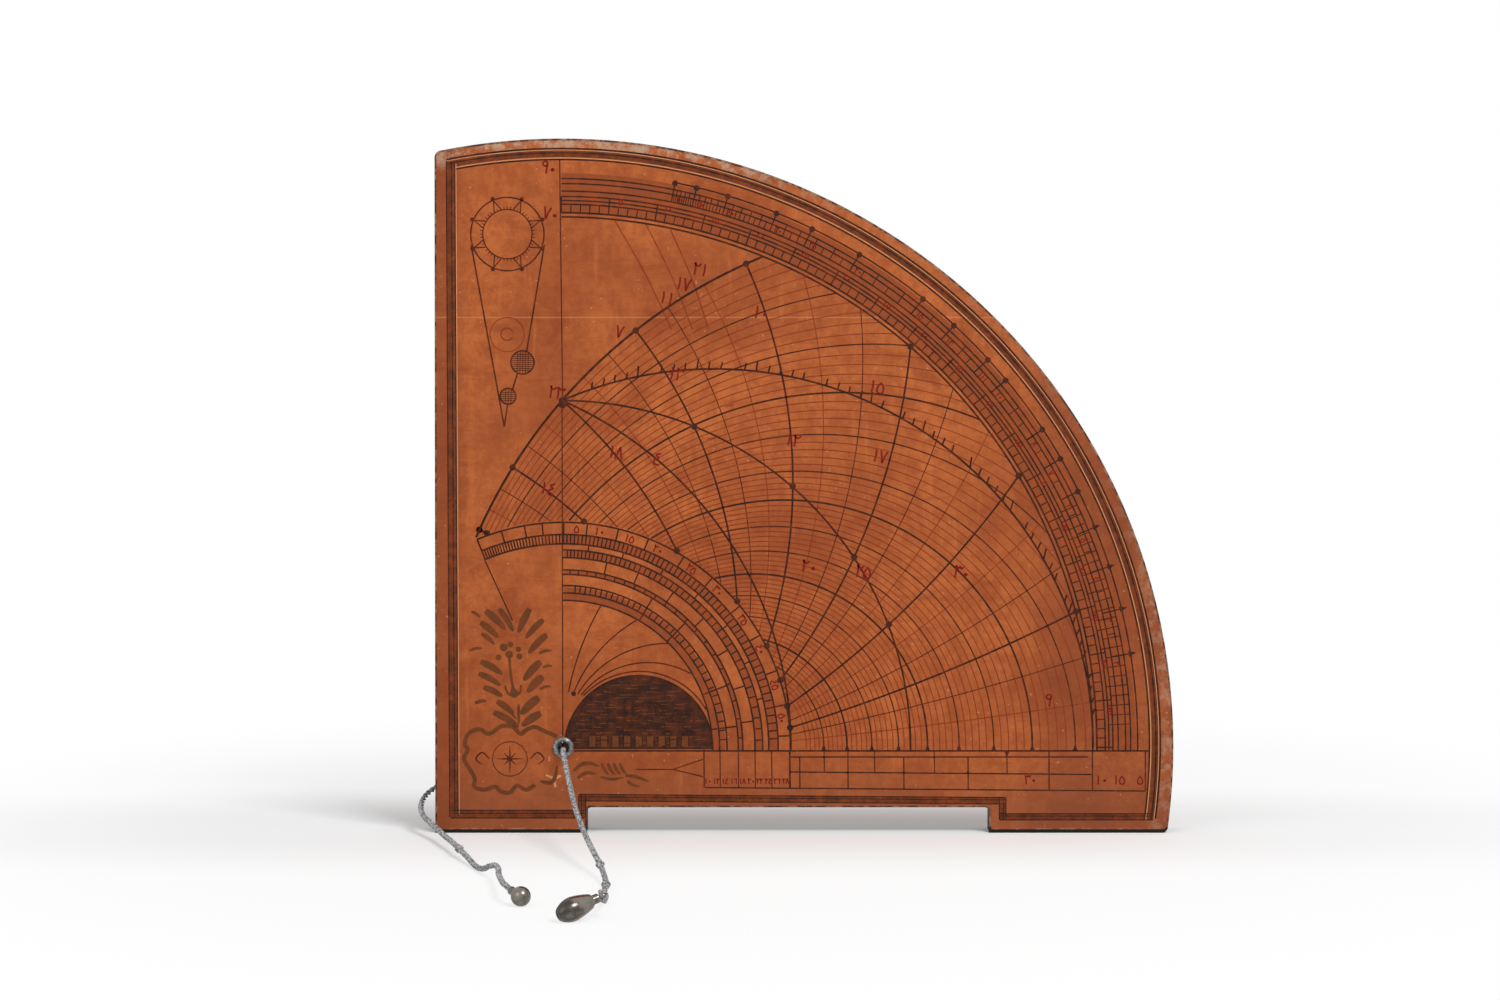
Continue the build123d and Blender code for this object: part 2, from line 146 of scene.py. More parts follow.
class Shader:
    """Wires one material's nodes."""

    def __init__(self, name: str) -> None:
        """Starts a material with a principled shader and object coordinates.

        Args:
            name: The material's name.
        """
        self.material = bpy.data.materials.new(name)
        self.material.use_nodes = True
        self.tree = self.material.node_tree
        self.surface = self.tree.nodes["Principled BSDF"]
        self.place = self.tree.nodes.new("ShaderNodeTexCoord").outputs["Object"]

    def node(self, kind: str, **settings: object) -> bpy.types.Node:
        """Adds a node.

        Args:
            kind: The node's type, without its prefix.
            **settings: Properties of the node.

        Returns:
            The new node.
        """
        made = self.tree.nodes.new("ShaderNode" + kind)
        for key, value in settings.items():
            setattr(made, key, value)
        return made

    def join(self, value: Value, socket: bpy.types.NodeSocket) -> None:
        """Links an output to a socket, or sets the socket's own value.

        Args:
            value: An output socket, a number or a colour.
            socket: The input socket.
        """
        if isinstance(value, bpy.types.NodeSocket):
            self.tree.links.new(value, socket)
        elif isinstance(value, tuple) and len(value) == 3 and socket.type == "RGBA":
            socket.default_value = (*value, 1.0)
        else:
            socket.default_value = value

    def axes(self) -> bpy.types.NodeOutputs:
        """Splits the coordinates into X, Y and Z."""
        split = self.node("SeparateXYZ")
        self.join(self.place, split.inputs[0])
        return split.outputs

    def stretched(self, scale: Place) -> bpy.types.NodeSocket:
        """Stretches the coordinates by a scale on each axis, for a grain that runs one way."""
        made = self.node("VectorMath", operation="MULTIPLY")
        self.join(self.place, made.inputs[0])
        made.inputs[1].default_value = scale
        return made.outputs[0]

    def noise(
        self, scale: float, detail: int, rough: float, warp: float = 0.0, place: Value | None = None
    ) -> bpy.types.NodeSocket:
        """Adds a noise.

        Args:
            scale: The number of features in a metre.
            detail: The octaves.
            rough: How strong the fine octaves are.
            warp: The distortion.
            place: The coordinates, or none for the object's own.

        Returns:
            The noise's value.
        """
        made = self.node("TexNoise")
        self.join(self.place if place is None else place, made.inputs["Vector"])
        levels = {"Scale": scale, "Detail": detail, "Roughness": rough, "Distortion": warp}
        for key, value in levels.items():
            made.inputs[key].default_value = value
        return made.outputs[0]

    def math(self, operation: str, first: Value, second: Value = 0.0) -> bpy.types.NodeSocket:
        """Adds a sum.

        Args:
            operation: The operation's name.
            first: The first value.
            second: The second value.

        Returns:
            The result.
        """
        made = self.node("Math", operation=operation)
        self.join(first, made.inputs[0])
        self.join(second, made.inputs[1])
        return made.outputs[0]

    def step(
        self, value: Value, low: float, high: float, to_low: Value = 0.0, to_high: float = 1.0
    ) -> bpy.types.NodeSocket:
        """Turns a value smoothly from one level to another.

        Args:
            value: The value.
            low: Where the turn begins.
            high: Where it ends.
            to_low: The level before it.
            to_high: The level after it.

        Returns:
            The level.
        """
        made = self.node("MapRange", interpolation_type="SMOOTHSTEP")
        levels = {"Value": value, "From Min": low, "From Max": high, "To Min": to_low, "To Max": to_high}
        for key, item in levels.items():
            self.join(item, made.inputs[key])
        return made.outputs[0]

    def mix(self, share: Value, first: Value, second: Value) -> bpy.types.NodeSocket:
        """Mixes two colours.

        Args:
            share: How much of the second there is.
            first: The first colour.
            second: The second colour.

        Returns:
            The mixed colour.
        """
        made = self.node("Mix", data_type="RGBA")
        self.join(share, made.inputs[0])
        self.join(first, made.inputs[6])
        self.join(second, made.inputs[7])
        return made.outputs[2]

    def bump(
        self, height: Value, strength: float, distance: float, before: Value | None = None
    ) -> bpy.types.NodeSocket:
        """Adds a bump.

        Args:
            height: The height's value.
            strength: How strong it is.
            distance: How deep it is, in metres.
            before: A bump that comes before this one.

        Returns:
            The bumped normal.
        """
        made = self.node("Bump")
        made.inputs["Strength"].default_value = strength
        made.inputs["Distance"].default_value = distance
        self.join(height, made.inputs["Height"])
        if before is not None:
            self.join(before, made.inputs["Normal"])
        return made.outputs[0]

    def finish(
        self, colour: Value, roughness: Value, normal: Value | None = None, **fixed: float
    ) -> bpy.types.Material:
        """Joins the results to the shader.

        Args:
            colour: The base colour.
            roughness: The roughness.
            normal: The bumped normal.
            **fixed: Values that are the same all over, set on the shader's own sockets.

        Returns:
            The material.
        """
        self.join(colour, self.surface.inputs["Base Color"])
        self.join(roughness, self.surface.inputs["Roughness"])
        if normal is not None:
            self.join(normal, self.surface.inputs["Normal"])
        for key, value in fixed.items():
            self.surface.inputs[key.replace("_", " ")].default_value = value
        return self.material


# Drawings

ARC_SAG = 0.008
FILM_DEPTH = 0.06
LAYER_STEP = 0.0013
LAYERS = 7
DIGIT_WIDTH = 0.62
DIGIT_SHAPES: dict[int, tuple[Point, ...]] = {
    0: ((0.30, 0.42), (0.42, 0.52), (0.50, 0.42), (0.40, 0.33), (0.30, 0.42)),
    1: ((0.30, 1.00), (0.36, 0.60), (0.34, 0.00)),
    2: ((0.60, 0.98), (0.46, 0.76), (0.22, 0.80), (0.12, 1.00), (0.22, 0.60), (0.24, 0.00)),
    3: ((0.72, 1.00), (0.60, 0.80), (0.46, 0.98), (0.34, 0.80), (0.12, 1.00), (0.20, 0.55), (0.22, 0.00)),
    4: ((0.58, 0.98), (0.22, 0.80), (0.48, 0.58), (0.14, 0.36), (0.22, 0.06), (0.60, 0.02)),
    5: ((0.36, 0.92), (0.14, 0.52), (0.16, 0.14), (0.38, 0.04), (0.62, 0.14), (0.62, 0.54), (0.36, 0.92)),
    6: ((0.10, 0.96), (0.34, 0.86), (0.58, 0.94), (0.50, 0.50), (0.52, 0.00)),
    7: ((0.08, 1.00), (0.22, 0.55), (0.34, 0.00), (0.46, 0.55), (0.64, 1.00)),
    8: ((0.06, 0.00), (0.22, 0.50), (0.34, 1.00), (0.46, 0.50), (0.64, 0.00)),
    9: ((0.52, 0.70), (0.32, 0.58), (0.14, 0.76), (0.30, 0.98), (0.52, 0.88), (0.52, 0.45), (0.56, 0.00)),
}


class Touch(Enum):
    """How a stroke's width changes along it."""

    EVEN = "even"
    BRUSH = "brush"
    FADE = "fade"
    WEDGE = "wedge"

    def share(self, along: float) -> float:
        """Gives the width's share at a point.

        Args:
            along: The place along the stroke, from 0 to 1.

        Returns:
            The share of the full width.
        """
        if self is Touch.BRUSH:
            return 0.22 + 0.78 * math.sin(math.pi * min(1.0, 0.12 + 0.88 * along)) ** 0.7
        if self is Touch.FADE:
            return 1.0 - 0.75 * along
        if self is Touch.WEDGE:
            return 0.04 + 0.96 * along
        return 1.0


def polar(radius: float, degrees: float, centre: Point = APEX) -> Point:
    """Gives the point at an angle counted from the right, anticlockwise."""
    turn = math.radians(degrees)
    return centre[0] + radius * math.cos(turn), centre[1] + radius * math.sin(turn)


def arc_path(centre: Point, radius: float, start: float, end: float) -> list[Point]:
    """Gives an arc's points, as far apart as its roundness allows.

    Args:
        centre: The arc's centre.
        radius: The arc's radius.
        start: The first angle in degrees.
        end: The last angle.

    Returns:
        The points.
    """
    step = math.degrees(math.sqrt(8 * ARC_SAG / radius))
    count = max(2, math.ceil(abs(end - start) / step))
    return [polar(radius, start + (end - start) * i / count, centre) for i in range(count + 1)]


def smooth_path(points: tuple[Point, ...], parts: int) -> list[Point]:
    """Runs a smooth line through a few points.

    Args:
        points: The points that the line goes through.
        parts: The pieces between two points.

    Returns:
        The line's points.
    """
    ends = [points[0], *points, points[-1]]
    line: list[Point] = []
    for a, b, c, d in zip(ends, ends[1:], ends[2:], ends[3:]):
        for i in range(parts):
            t = i / parts
            line.append(tuple(
                0.5 * (2 * b[k] + (c[k] - a[k]) * t + (2 * a[k] - 5 * b[k] + 4 * c[k] - d[k]) * t**2
                       + (3 * b[k] - a[k] - 3 * c[k] + d[k]) * t**3)
                for k in (0, 1)
            ))
    line.append(points[-1])
    return line


class Drawing:
    """One flat drawing in a single ink, in millimetres from the apex, x to the right and y up."""

    def __init__(self, name: str, ink: Ink, lift: float) -> None:
        """Starts an empty drawing.

        Args:
            name: The name of the piece that it becomes.
            ink: The paint that it is made with.
            lift: How far the paint stands out, in millimetres.
        """
        self.name = name
        self.ink = ink
        self.lift = lift
        self.flat = bmesh.new()
        self.strokes = 0

    def layer(self) -> float:
        """Gives the next stroke's height, so that strokes that cross don't share a plane."""
        self.strokes += 1
        return LAYER_STEP * (self.strokes % LAYERS)

    def stroke(self, path: list[Point], width: float, touch: Touch = Touch.EVEN) -> None:
        """Draws a stroke along a path.

        Args:
            path: The points of its middle line.
            width: Its full width.
            touch: How the width changes.
        """
        level = self.layer()
        last = len(path) - 1
        closed = last > 2 and math.dist(path[0], path[-1]) < 1e-6
        rails: list[tuple[bmesh.types.BMVert, bmesh.types.BMVert]] = []
        for i, here in enumerate(path):
            if closed and i == last:
                rails.append(rails[0])
                continue
            before = path[i - 1] if i else (path[last - 1] if closed else here)
            after = path[i + 1] if i < last else here
            along = Vector((after[0] - before[0], after[1] - before[1])).normalized()
            half = width / 2 * touch.share(i / last)
            side = Vector((-along.y, along.x)) * half
            left = self.flat.verts.new((here[0] + side.x, here[1] + side.y, level))
            right = self.flat.verts.new((here[0] - side.x, here[1] - side.y, level))
            rails.append((left, right))
        for (left_a, right_a), (left_b, right_b) in zip(rails, rails[1:]):
            self.flat.faces.new((left_a, right_a, right_b, left_b))

    def line(self, start: Point, end: Point, width: float, touch: Touch = Touch.EVEN) -> None:
        """Draws a straight line."""
        self.stroke([start, end], width, touch)

    def curve(self, points: tuple[Point, ...], parts: int, width: float, touch: Touch = Touch.EVEN) -> None:
        """Draws a smooth stroke through a few points, with so many parts between two of them."""
        self.stroke(smooth_path(points, parts), width, touch)

    def ring(self, circle: Circle, inside: Field, width: float, step: float = 1.2) -> None:
        """Draws the stretches of a circle that lie inside a field."""
        for run in circle.runs(inside, step):
            self.stroke(run, width)

    def arc(self, centre: Point, radius: float, start: float, end: float, width: float) -> None:
        """Draws an arc between two angles in degrees."""
        self.stroke(arc_path(centre, radius, start, end), width)

    def dot(self, centre: Point, radius: float, corners: int = 10) -> None:
        """Draws a filled dot.

        Args:
            centre: The dot's centre.
            radius: The dot's radius.
            corners: The number of its corners.
        """
        level = self.layer()
        rim = [polar(radius, 360 * i / corners, centre) for i in range(corners)]
        self.flat.faces.new([self.flat.verts.new((*point, level)) for point in rim])

    def patch(self, outline: list[Point]) -> None:
        """Fills an outline given anticlockwise."""
        level = self.layer()
        self.flat.faces.new([self.flat.verts.new((*point, level)) for point in outline])

    def tick(self, centre: Point, inner: float, outer: float, degrees: float, width: float) -> None:
        """Draws a short line along a circle's radius."""
        self.line(polar(inner, degrees, centre), polar(outer, degrees, centre), width)

    def numeral(self, value: int, middle: Point, height: float, turn: float, pen: float) -> None:
        """Writes a plain number.

        Args:
            value: The number.
            middle: The place of its middle.
            height: The height of a digit.
            turn: How far it is turned, in degrees anticlockwise.
            pen: The pen's width.
        """
        digits = [int(figure) for figure in str(value)]
        spin = Matrix.Rotation(math.radians(turn), 2)
        for place, digit in enumerate(digits):
            shift = (place - len(digits) / 2) * DIGIT_WIDTH
            points = []
            for x, y in smooth_path(DIGIT_SHAPES[digit], 3):
                at = spin @ Vector(((x + shift) * height, (y - 0.5) * height))
                points.append((middle[0] + at.x, middle[1] + at.y))
            self.stroke(points, pen)

    def mount(self, stand: Matrix, slot: str) -> None:
        """Stands the drawing on the board as a thin film of paint.

        Args:
            stand: The matrix that stands a flat drawing on its side of the board.
            slot: The record's material slot; not used.
        """
        mesh = bpy.data.meshes.new(self.name)
        self.flat.to_mesh(mesh)
        self.flat.free()
        piece = bpy.data.objects.new(self.name, mesh)
        bpy.context.collection.objects.link(piece)
        film = piece.modifiers.new("film", "SOLIDIFY")
        film.thickness = FILM_DEPTH
        film.offset = -1.0
        only(piece)
        bpy.ops.object.modifier_apply(modifier=film.name)
        mesh.transform(stand @ Matrix.Translation((0, 0, self.lift)))
        mesh.materials.append(self.ink.value.material())
        settle(piece, self.name, "board")


class Sheet:
    """The drawings on one side of the board."""

    def __init__(self, place: BoardPlace, side: Side) -> None:
        """Starts a sheet without drawings.

        Args:
            place: The board's place.
            side: The side that the drawings go on.
        """
        self.side = side
        self.stand = place.stand(side)
        self.drawings: list[Drawing] = []

    def ink(self, name: str, ink: Ink, lift: float) -> Drawing:
        """Starts one of the sheet's drawings.

        Args:
            name: The name of the piece that it becomes.
            ink: The paint that it is made with.
            lift: How far the paint stands out, in millimetres.

        Returns:
            The empty drawing.
        """
        self.drawings.append(Drawing(name, ink, lift))
        return self.drawings[-1]

    def mount(self) -> None:
        """Stands every drawing on the board."""
        for drawing in self.drawings:
            drawing.mount(self.stand, f"{self.side.value}_paint")


@dataclass(frozen=True)
class Circle:
    """A circle in a drawing, with its radius and centre in millimetres."""

    centre: Point
    radius: float

    def runs(self, inside: Field, step: float = 1.2) -> list[list[Point]]:
        """Finds the stretches of the circle that lie inside a field.

        Args:
            inside: A test that says whether a point is in the field.
            step: The distance between two tries.

        Returns:
            The points of each stretch.
        """
        count = max(24, math.ceil(2 * math.pi * self.radius / step))
        places = [polar(self.radius, 360 * i / count, self.centre) for i in range(count)]
        flags = [inside(place) for place in places]
        if all(flags):
            return [[*places, places[0]]]
        first = flags.index(False)
        found: list[list[Point]] = []
        current: list[Point] = []
        for i in range(first, first + count + 1):
            if flags[i % count]:
                if not current:
                    current.append(self.edge(inside, 360 * (i - 1) / count, 360 * i / count))
                current.append(places[i % count])
            elif current:
                current.append(self.edge(inside, 360 * i / count, 360 * (i - 1) / count))
                found.append(current)
                current = []
        return [run for run in found if len(run) > 3]

    def edge(self, inside: Field, outer: float, inner: float) -> Point:
        """Finds where the circle crosses the field's edge.

        Args:
            inside: The field's test.
            outer: An angle outside the field.
            inner: An angle inside it.

        Returns:
            The place of the crossing.
        """
        for _ in range(8):
            middle = (outer + inner) / 2
            if inside(polar(self.radius, middle, self.centre)):
                inner = middle
            else:
                outer = middle
        return polar(self.radius, inner, self.centre)


@dataclass(frozen=True)
class SkyNet:
    """The stereographic net of one latitude, folded onto a quarter, in millimetres and degrees."""

    equator_radius: float = 108.1
    latitude: float = 41.0
    obliquity: float = 23.5
    low_step: float = 5.46
    high_step: float = 4.74
    low_count: int = 5
    high_count: int = 8
    bold_every: int = 3
    minor_parts: int = 5
    azimuth_step: int = 5
    plain_azimuth: int = 10
    bold_azimuth: int = 15
    dotted_azimuths: tuple[int, ...] = (30, 45, 60, 75, 90, 105, 120)
    horizon_pen: float = 0.72
    ecliptic_pen: float = 0.58
    bold_pen: float = 0.56
    tick_pen: float = 0.52
    plain_pen: float = 0.42
    thin_pen: float = 0.30
    tick_height: float = 2.2
    fifth_tick_height: float = 3.3
    dot_radius: float = 1.05
    foot_half: float = 0.8
    foot_top: float = 1.2
    foot_reach: float = 1.0
    least_rise: float = 0.5

    @property
    def winter_radius(self) -> float:
        """The outer tropic's radius."""
        return self.equator_radius * math.tan(math.radians(45 + self.obliquity / 2))

    @property
    def summer_radius(self) -> float:
        """The inner tropic's radius."""
        return self.equator_radius**2 / self.winter_radius

    def altitude_circle(self, altitude: float) -> Circle:
        """Gives the circle of one height above the horizon."""
        lift = math.sin(math.radians(self.latitude)) + math.sin(math.radians(altitude))
        across = self.equator_radius * math.cos(math.radians(self.latitude)) / lift
        return Circle((across, 0.0), self.equator_radius * math.cos(math.radians(altitude)) / lift)

    def azimuth_circle(self, azimuth: float) -> Circle:
        """Gives the circle of one direction, counted from the meridian."""
        span = self.equator_radius / math.cos(math.radians(self.latitude))
        turn = math.radians(azimuth)
        across = -self.equator_radius * math.tan(math.radians(self.latitude))
        return Circle((across, span / math.tan(turn)), span / abs(math.sin(turn)))

    def drawn_altitude(self, count: float) -> float:
        """Gives the height of a bold circle by its count from the horizon."""
        if count <= self.low_count:
            return self.low_step * count
        return self.low_step * self.low_count + self.high_step * (count - self.low_count)

    def field(self, horizon: bool = True) -> Field:
        """Gives the test for a point of the net.

        Args:
            horizon: Whether the net stops at the horizon.

        Returns:
            The test.
        """
        ground = self.altitude_circle(0.0)

        def inside(point: Point) -> bool:
            """Says whether a point lies in the net."""
            reach = math.hypot(*point)
            if not self.summer_radius < reach < self.winter_radius or point[1] < BASELINE:
                return False
            return not horizon or math.dist(point, ground.centre) < ground.radius + 0.01

        return inside

    def draw(self, sheet: Sheet) -> None:
        """Draws the circles of height and of direction, their dots and the ecliptic.

        Args:
            sheet: The sheet that holds the drawings.
        """
        inside = self.field()
        thin = sheet.ink("net_degrees", Ink.RUST, lift=0.012)
        plain = sheet.ink("net_fifths", Ink.BROWN, lift=0.016)
        bold = sheet.ink("net_main_circles", Ink.BLACK, lift=0.022)
        dots = sheet.ink("net_dots", Ink.SHADE, lift=0.026)
        for count in range(self.low_count + self.high_count + 1):
            main_line = count % self.bold_every == 0
            for run in self.altitude_circle(self.drawn_altitude(count)).runs(inside):
                (bold if main_line else plain).stroke(run, self.bold_pen if main_line else self.plain_pen)
                for x in [x for x, y in (run[0], run[-1]) if y < self.foot_reach][:1]:
                    sides = [(x - self.foot_half, BASELINE), (x + self.foot_half, BASELINE)]
                    dots.patch([*sides, (x, self.foot_top)])
            for part in range(1, self.minor_parts):
                between = self.drawn_altitude(count + part / self.minor_parts)
                thin.ring(self.altitude_circle(between), inside, self.thin_pen)
        for azimuth in range(self.azimuth_step, 180, self.azimuth_step):
            for run in self.azimuth_circle(azimuth).runs(inside):
                if max(point[1] for point in run) < self.least_rise:
                    continue
                if azimuth % self.bold_azimuth:
                    (thin if azimuth % self.plain_azimuth else plain).stroke(run, self.thin_pen)
                    continue
                bold.stroke(run, self.bold_pen)
                for end in (run[0], run[-1]):
                    dots.dot(end, self.dot_radius, 8)
        bold.ring(Circle(APEX, self.equator_radius), inside, self.bold_pen)
        for azimuth in self.dotted_azimuths:
            for run in self.azimuth_circle(azimuth).runs(inside):
                nearest = min(run, key=lambda point: abs(math.hypot(*point) - self.equator_radius))
                dots.dot(nearest, self.dot_radius, 8)
        self.draw_ecliptic(sheet)

    def draw_ecliptic(self, sheet: Sheet) -> None:
        """Draws the horizon, both halves of the ecliptic and the small ticks on the outer one.

        Args:
            sheet: The sheet that holds the drawings.
        """
        lines = sheet.ink("horizon_and_ecliptic", Ink.BLACK, lift=0.03)
        ticks = sheet.ink("ecliptic_ticks", Ink.BLACK, lift=0.028)
        across = self.equator_radius * math.tan(math.radians(self.obliquity))
        reach = self.equator_radius / math.cos(math.radians(self.obliquity))
        quarter = self.field(horizon=False)
        for centre in (across, -across):
            half = Circle((centre, 0.0), reach)
            lines.ring(half, lambda point: quarter(point) and point[0] > 0, self.ecliptic_pen)
        lines.ring(self.altitude_circle(0.0), quarter, self.horizon_pen)
        node_angle = math.degrees(math.atan2(self.equator_radius, -across))
        for count in range(1, 60):
            if count % 7 == 6:
                continue
            angle = node_angle - 3.0 - (node_angle - 6) * count / 60
            x, y = polar(reach, angle, (across, 0.0))
            lean = (0.4, 0.14)[count % 2] + 0.004 * x
            height = self.tick_height if count % 5 else self.fifth_tick_height
            ticks.line((x, y), (x + lean, y + height), self.tick_pen)


@dataclass(frozen=True)
class BorderBand:
    """The brown band inside the board's outline and its thin lines, in millimetres from the apex."""

    inner_radius: float = 183.2
    outer_radius: float = 185.2
    left_outer: float = -35.3
    left_inner: float = -32.9
    foot_y: float = -20.95
    jog_x: float = 5.85
    notch_y: float = -15.75
    notch_drop: float = 1.0
    far_jog_x: float = 136.85
    far_foot_low: float = -22.7
    far_foot_y: float = -21.8
    widths: tuple[float, ...] = (2.4, 2.2, 1.9, 1.8, 1.8, 1.7)
    edge_gap: float = 0.12
    edge_pen: float = 0.34
    middle_shift: float = 0.25
    middle_pen: float = 0.3
    hair_pen: float = 0.24

    def draw(self, sheet: Sheet) -> None:
        """Draws the band, its dark edge lines and its pale hairlines.

        Args:
            sheet: The sheet that holds the drawings; on the back the band is turned over.
        """
        flip = 1.0 if sheet.side is Side.FRONT else -1.0
        band = sheet.ink(f"{sheet.side.value}_border_band", Ink.BAND, lift=0.01)
        dark = sheet.ink(f"{sheet.side.value}_border_lines", Ink.BLACK, lift=0.018)
        pale = sheet.ink(f"{sheet.side.value}_border_hairlines", Ink.PALE, lift=0.014)
        middle = (self.inner_radius + self.outer_radius) / 2
        left_x = (self.left_outer + self.left_inner) / 2
        for drawing, radius, pen, ring_left in (
            (band, middle, self.outer_radius - self.inner_radius, left_x),
            (dark, self.outer_radius + 0.6, 0.6, self.left_outer - 0.1),
            (dark, self.inner_radius - 0.75, 0.52, self.left_inner + 0.5),
            (dark, middle + 0.3, 0.42, self.left_outer + 0.8),
            (pale, self.outer_radius + 0.2, 0.2, self.left_outer),
            (pale, self.inner_radius - 0.3, self.hair_pen, self.left_inner),
        ):
            start = math.degrees(math.asin((self.far_foot_low + (radius - middle) * 0.2) / radius))
            end = math.degrees(math.acos(ring_left / radius))
            path = [(flip * x, y) for x, y in arc_path(APEX, radius, start, end)]
            drawing.stroke(path if flip > 0 else path[::-1], pen)
        top = (left_x, math.sqrt(middle**2 - left_x**2))
        corners = [
            top,
            (left_x, self.foot_y),
            (self.jog_x, self.foot_y),
            (self.jog_x, self.notch_y),
            (self.far_jog_x, self.notch_y - self.notch_drop),
            (self.far_jog_x, self.far_foot_y),
            (math.sqrt(middle**2 - self.far_foot_low**2), self.far_foot_y),
        ]
        for start, end, wide in zip(corners, corners[1:], self.widths):
            self.run(band, start, end, wide, flip, 0.0)
            for offset in (wide / 2 + self.edge_gap, -wide / 2 - self.edge_gap):
                self.run(dark, start, end, self.edge_pen, flip, offset)
            self.run(dark, start, end, self.middle_pen, flip, self.middle_shift)
        hair_x = self.left_inner + 0.45
        self.run(pale, (hair_x, top[1]), (hair_x, self.foot_y), self.hair_pen, flip, 0.0)

    def run(
        self, drawing: Drawing, start: Point, end: Point, width: float, flip: float, offset: float
    ) -> None:
        """Draws one straight run of the band, moved sideways by an offset.

        Args:
            drawing: The drawing.
            start: The run's start.
            end: The run's end.
            width: The width.
            flip: 1 on the front and -1 on the back.
            offset: How far it is moved to its left.
        """
        along = Vector((end[0] - start[0], end[1] - start[1])).normalized()
        side = Vector((-along.y, along.x)) * offset
        reach = along * (width / 2 if offset == 0 else 0.9) * 0.98
        first = Vector(start) + side - reach
        second = Vector(end) + side + reach
        drawing.line((flip * first.x, first.y), (flip * second.x, second.y), width)


def low_end(radius: float) -> float:
    """Gives the angle where a ring about the apex meets the baseline."""
    return math.degrees(math.asin(BASELINE / radius))


@dataclass(frozen=True)
class LimbScale:
    """The rings outside the net: a degree ladder and a shadow scale, in millimetres."""

    wash_radius: float = 172.0
    wash_width: float = 12.4
    bold_radii: tuple[float, ...] = (164.8, 166.1)
    fifths: float = 168.7
    tens: float = 171.1
    middle: float = 169.85
    shadow_low: float = 172.75
    shadow_high: float = 175.05
    outer: float = 176.6
    mark_radius: float = 178.6
    last_radius: float = 178.8
    last_from: float = 11.3
    shadow_marks: tuple[int, ...] = (60, 50, 40, 30, 25, 20, 15, 13, 11, 10, 8, 7, 6, 5, 4, 3, 2)
    shadow_digits: float = 12.0
    bold_pen: float = 0.55
    pen: float = 0.46
    long_pen: float = 0.42
    short_pen: float = 0.34
    fine_pen: float = 0.3

    def shadow_angle(self, shadow: float) -> float:
        """Gives the angle from the right of one shadow length."""
        return 90 - math.degrees(math.atan2(self.shadow_digits, shadow))

    def draw(self, sheet: Sheet) -> None:
        """Draws the rings, both ladders, the marks and the numbers.

        Args:
            sheet: The sheet that holds the drawings.
        """
        wash = sheet.ink("limb_wash", Ink.WASH, lift=0.006)
        rings = sheet.ink("limb_rings", Ink.BLACK, lift=0.024)
        ladder = sheet.ink("limb_ladders", Ink.BLACK, lift=0.02)
        marks = sheet.ink("limb_marks", Ink.SHADE, lift=0.028)
        numbers = sheet.ink("limb_numbers", Ink.RED, lift=0.03)
        wash.arc(APEX, self.wash_radius, low_end(self.wash_radius), 90, self.wash_width)
        for radius in self.bold_radii:
            rings.arc(APEX, radius, low_end(radius), 90, self.bold_pen)
        for radius in (self.fifths, self.middle, self.tens, self.shadow_low, self.shadow_high, self.outer):
            rings.arc(APEX, radius, low_end(radius), 90, self.pen)
        rings.arc(APEX, self.last_radius, low_end(self.last_radius), 90 - self.last_from, self.pen)
        for degree in range(91):
            if degree % 5:
                ladder.tick(APEX, self.bold_radii[1], self.fifths, degree, self.short_pen)
                continue
            ladder.tick(APEX, self.bold_radii[1], self.tens, degree, self.long_pen)
            if 3 < degree < 88:
                numbers.numeral(90 - degree, polar(170.4, degree - 1.1), 1.9, degree - 90, self.short_pen)
        for shadow in self.shadow_marks:
            angle = self.shadow_angle(shadow)
            ladder.tick(APEX, self.shadow_low, 179.4, angle, self.long_pen)
            if shadow > 5:
                marks.dot(polar(self.mark_radius, angle), 0.95, 8)
            else:
                marks.patch([polar(180.6, angle), polar(178.2, angle + 0.3), polar(178.2, angle - 0.3)])
            numbers.numeral(shadow, polar(174.0, angle - 0.75), 1.8, angle - 90, 0.32)
        for shadow in (*range(60, 12, -1), *(12 - half / 2 for half in range(20))):
            ladder.tick(APEX, self.shadow_low, self.shadow_high, self.shadow_angle(shadow), self.fine_pen)
        for shadow in (*range(60, 10, -2), *range(10, 1, -1)):
            ladder.tick(APEX, self.shadow_high, self.outer, self.shadow_angle(shadow), self.short_pen)
        for degree in range(2, 26):
            inner = self.tens if degree % 2 else self.middle
            ladder.tick(APEX, inner, self.outer, degree + 0.4, self.fine_pen)


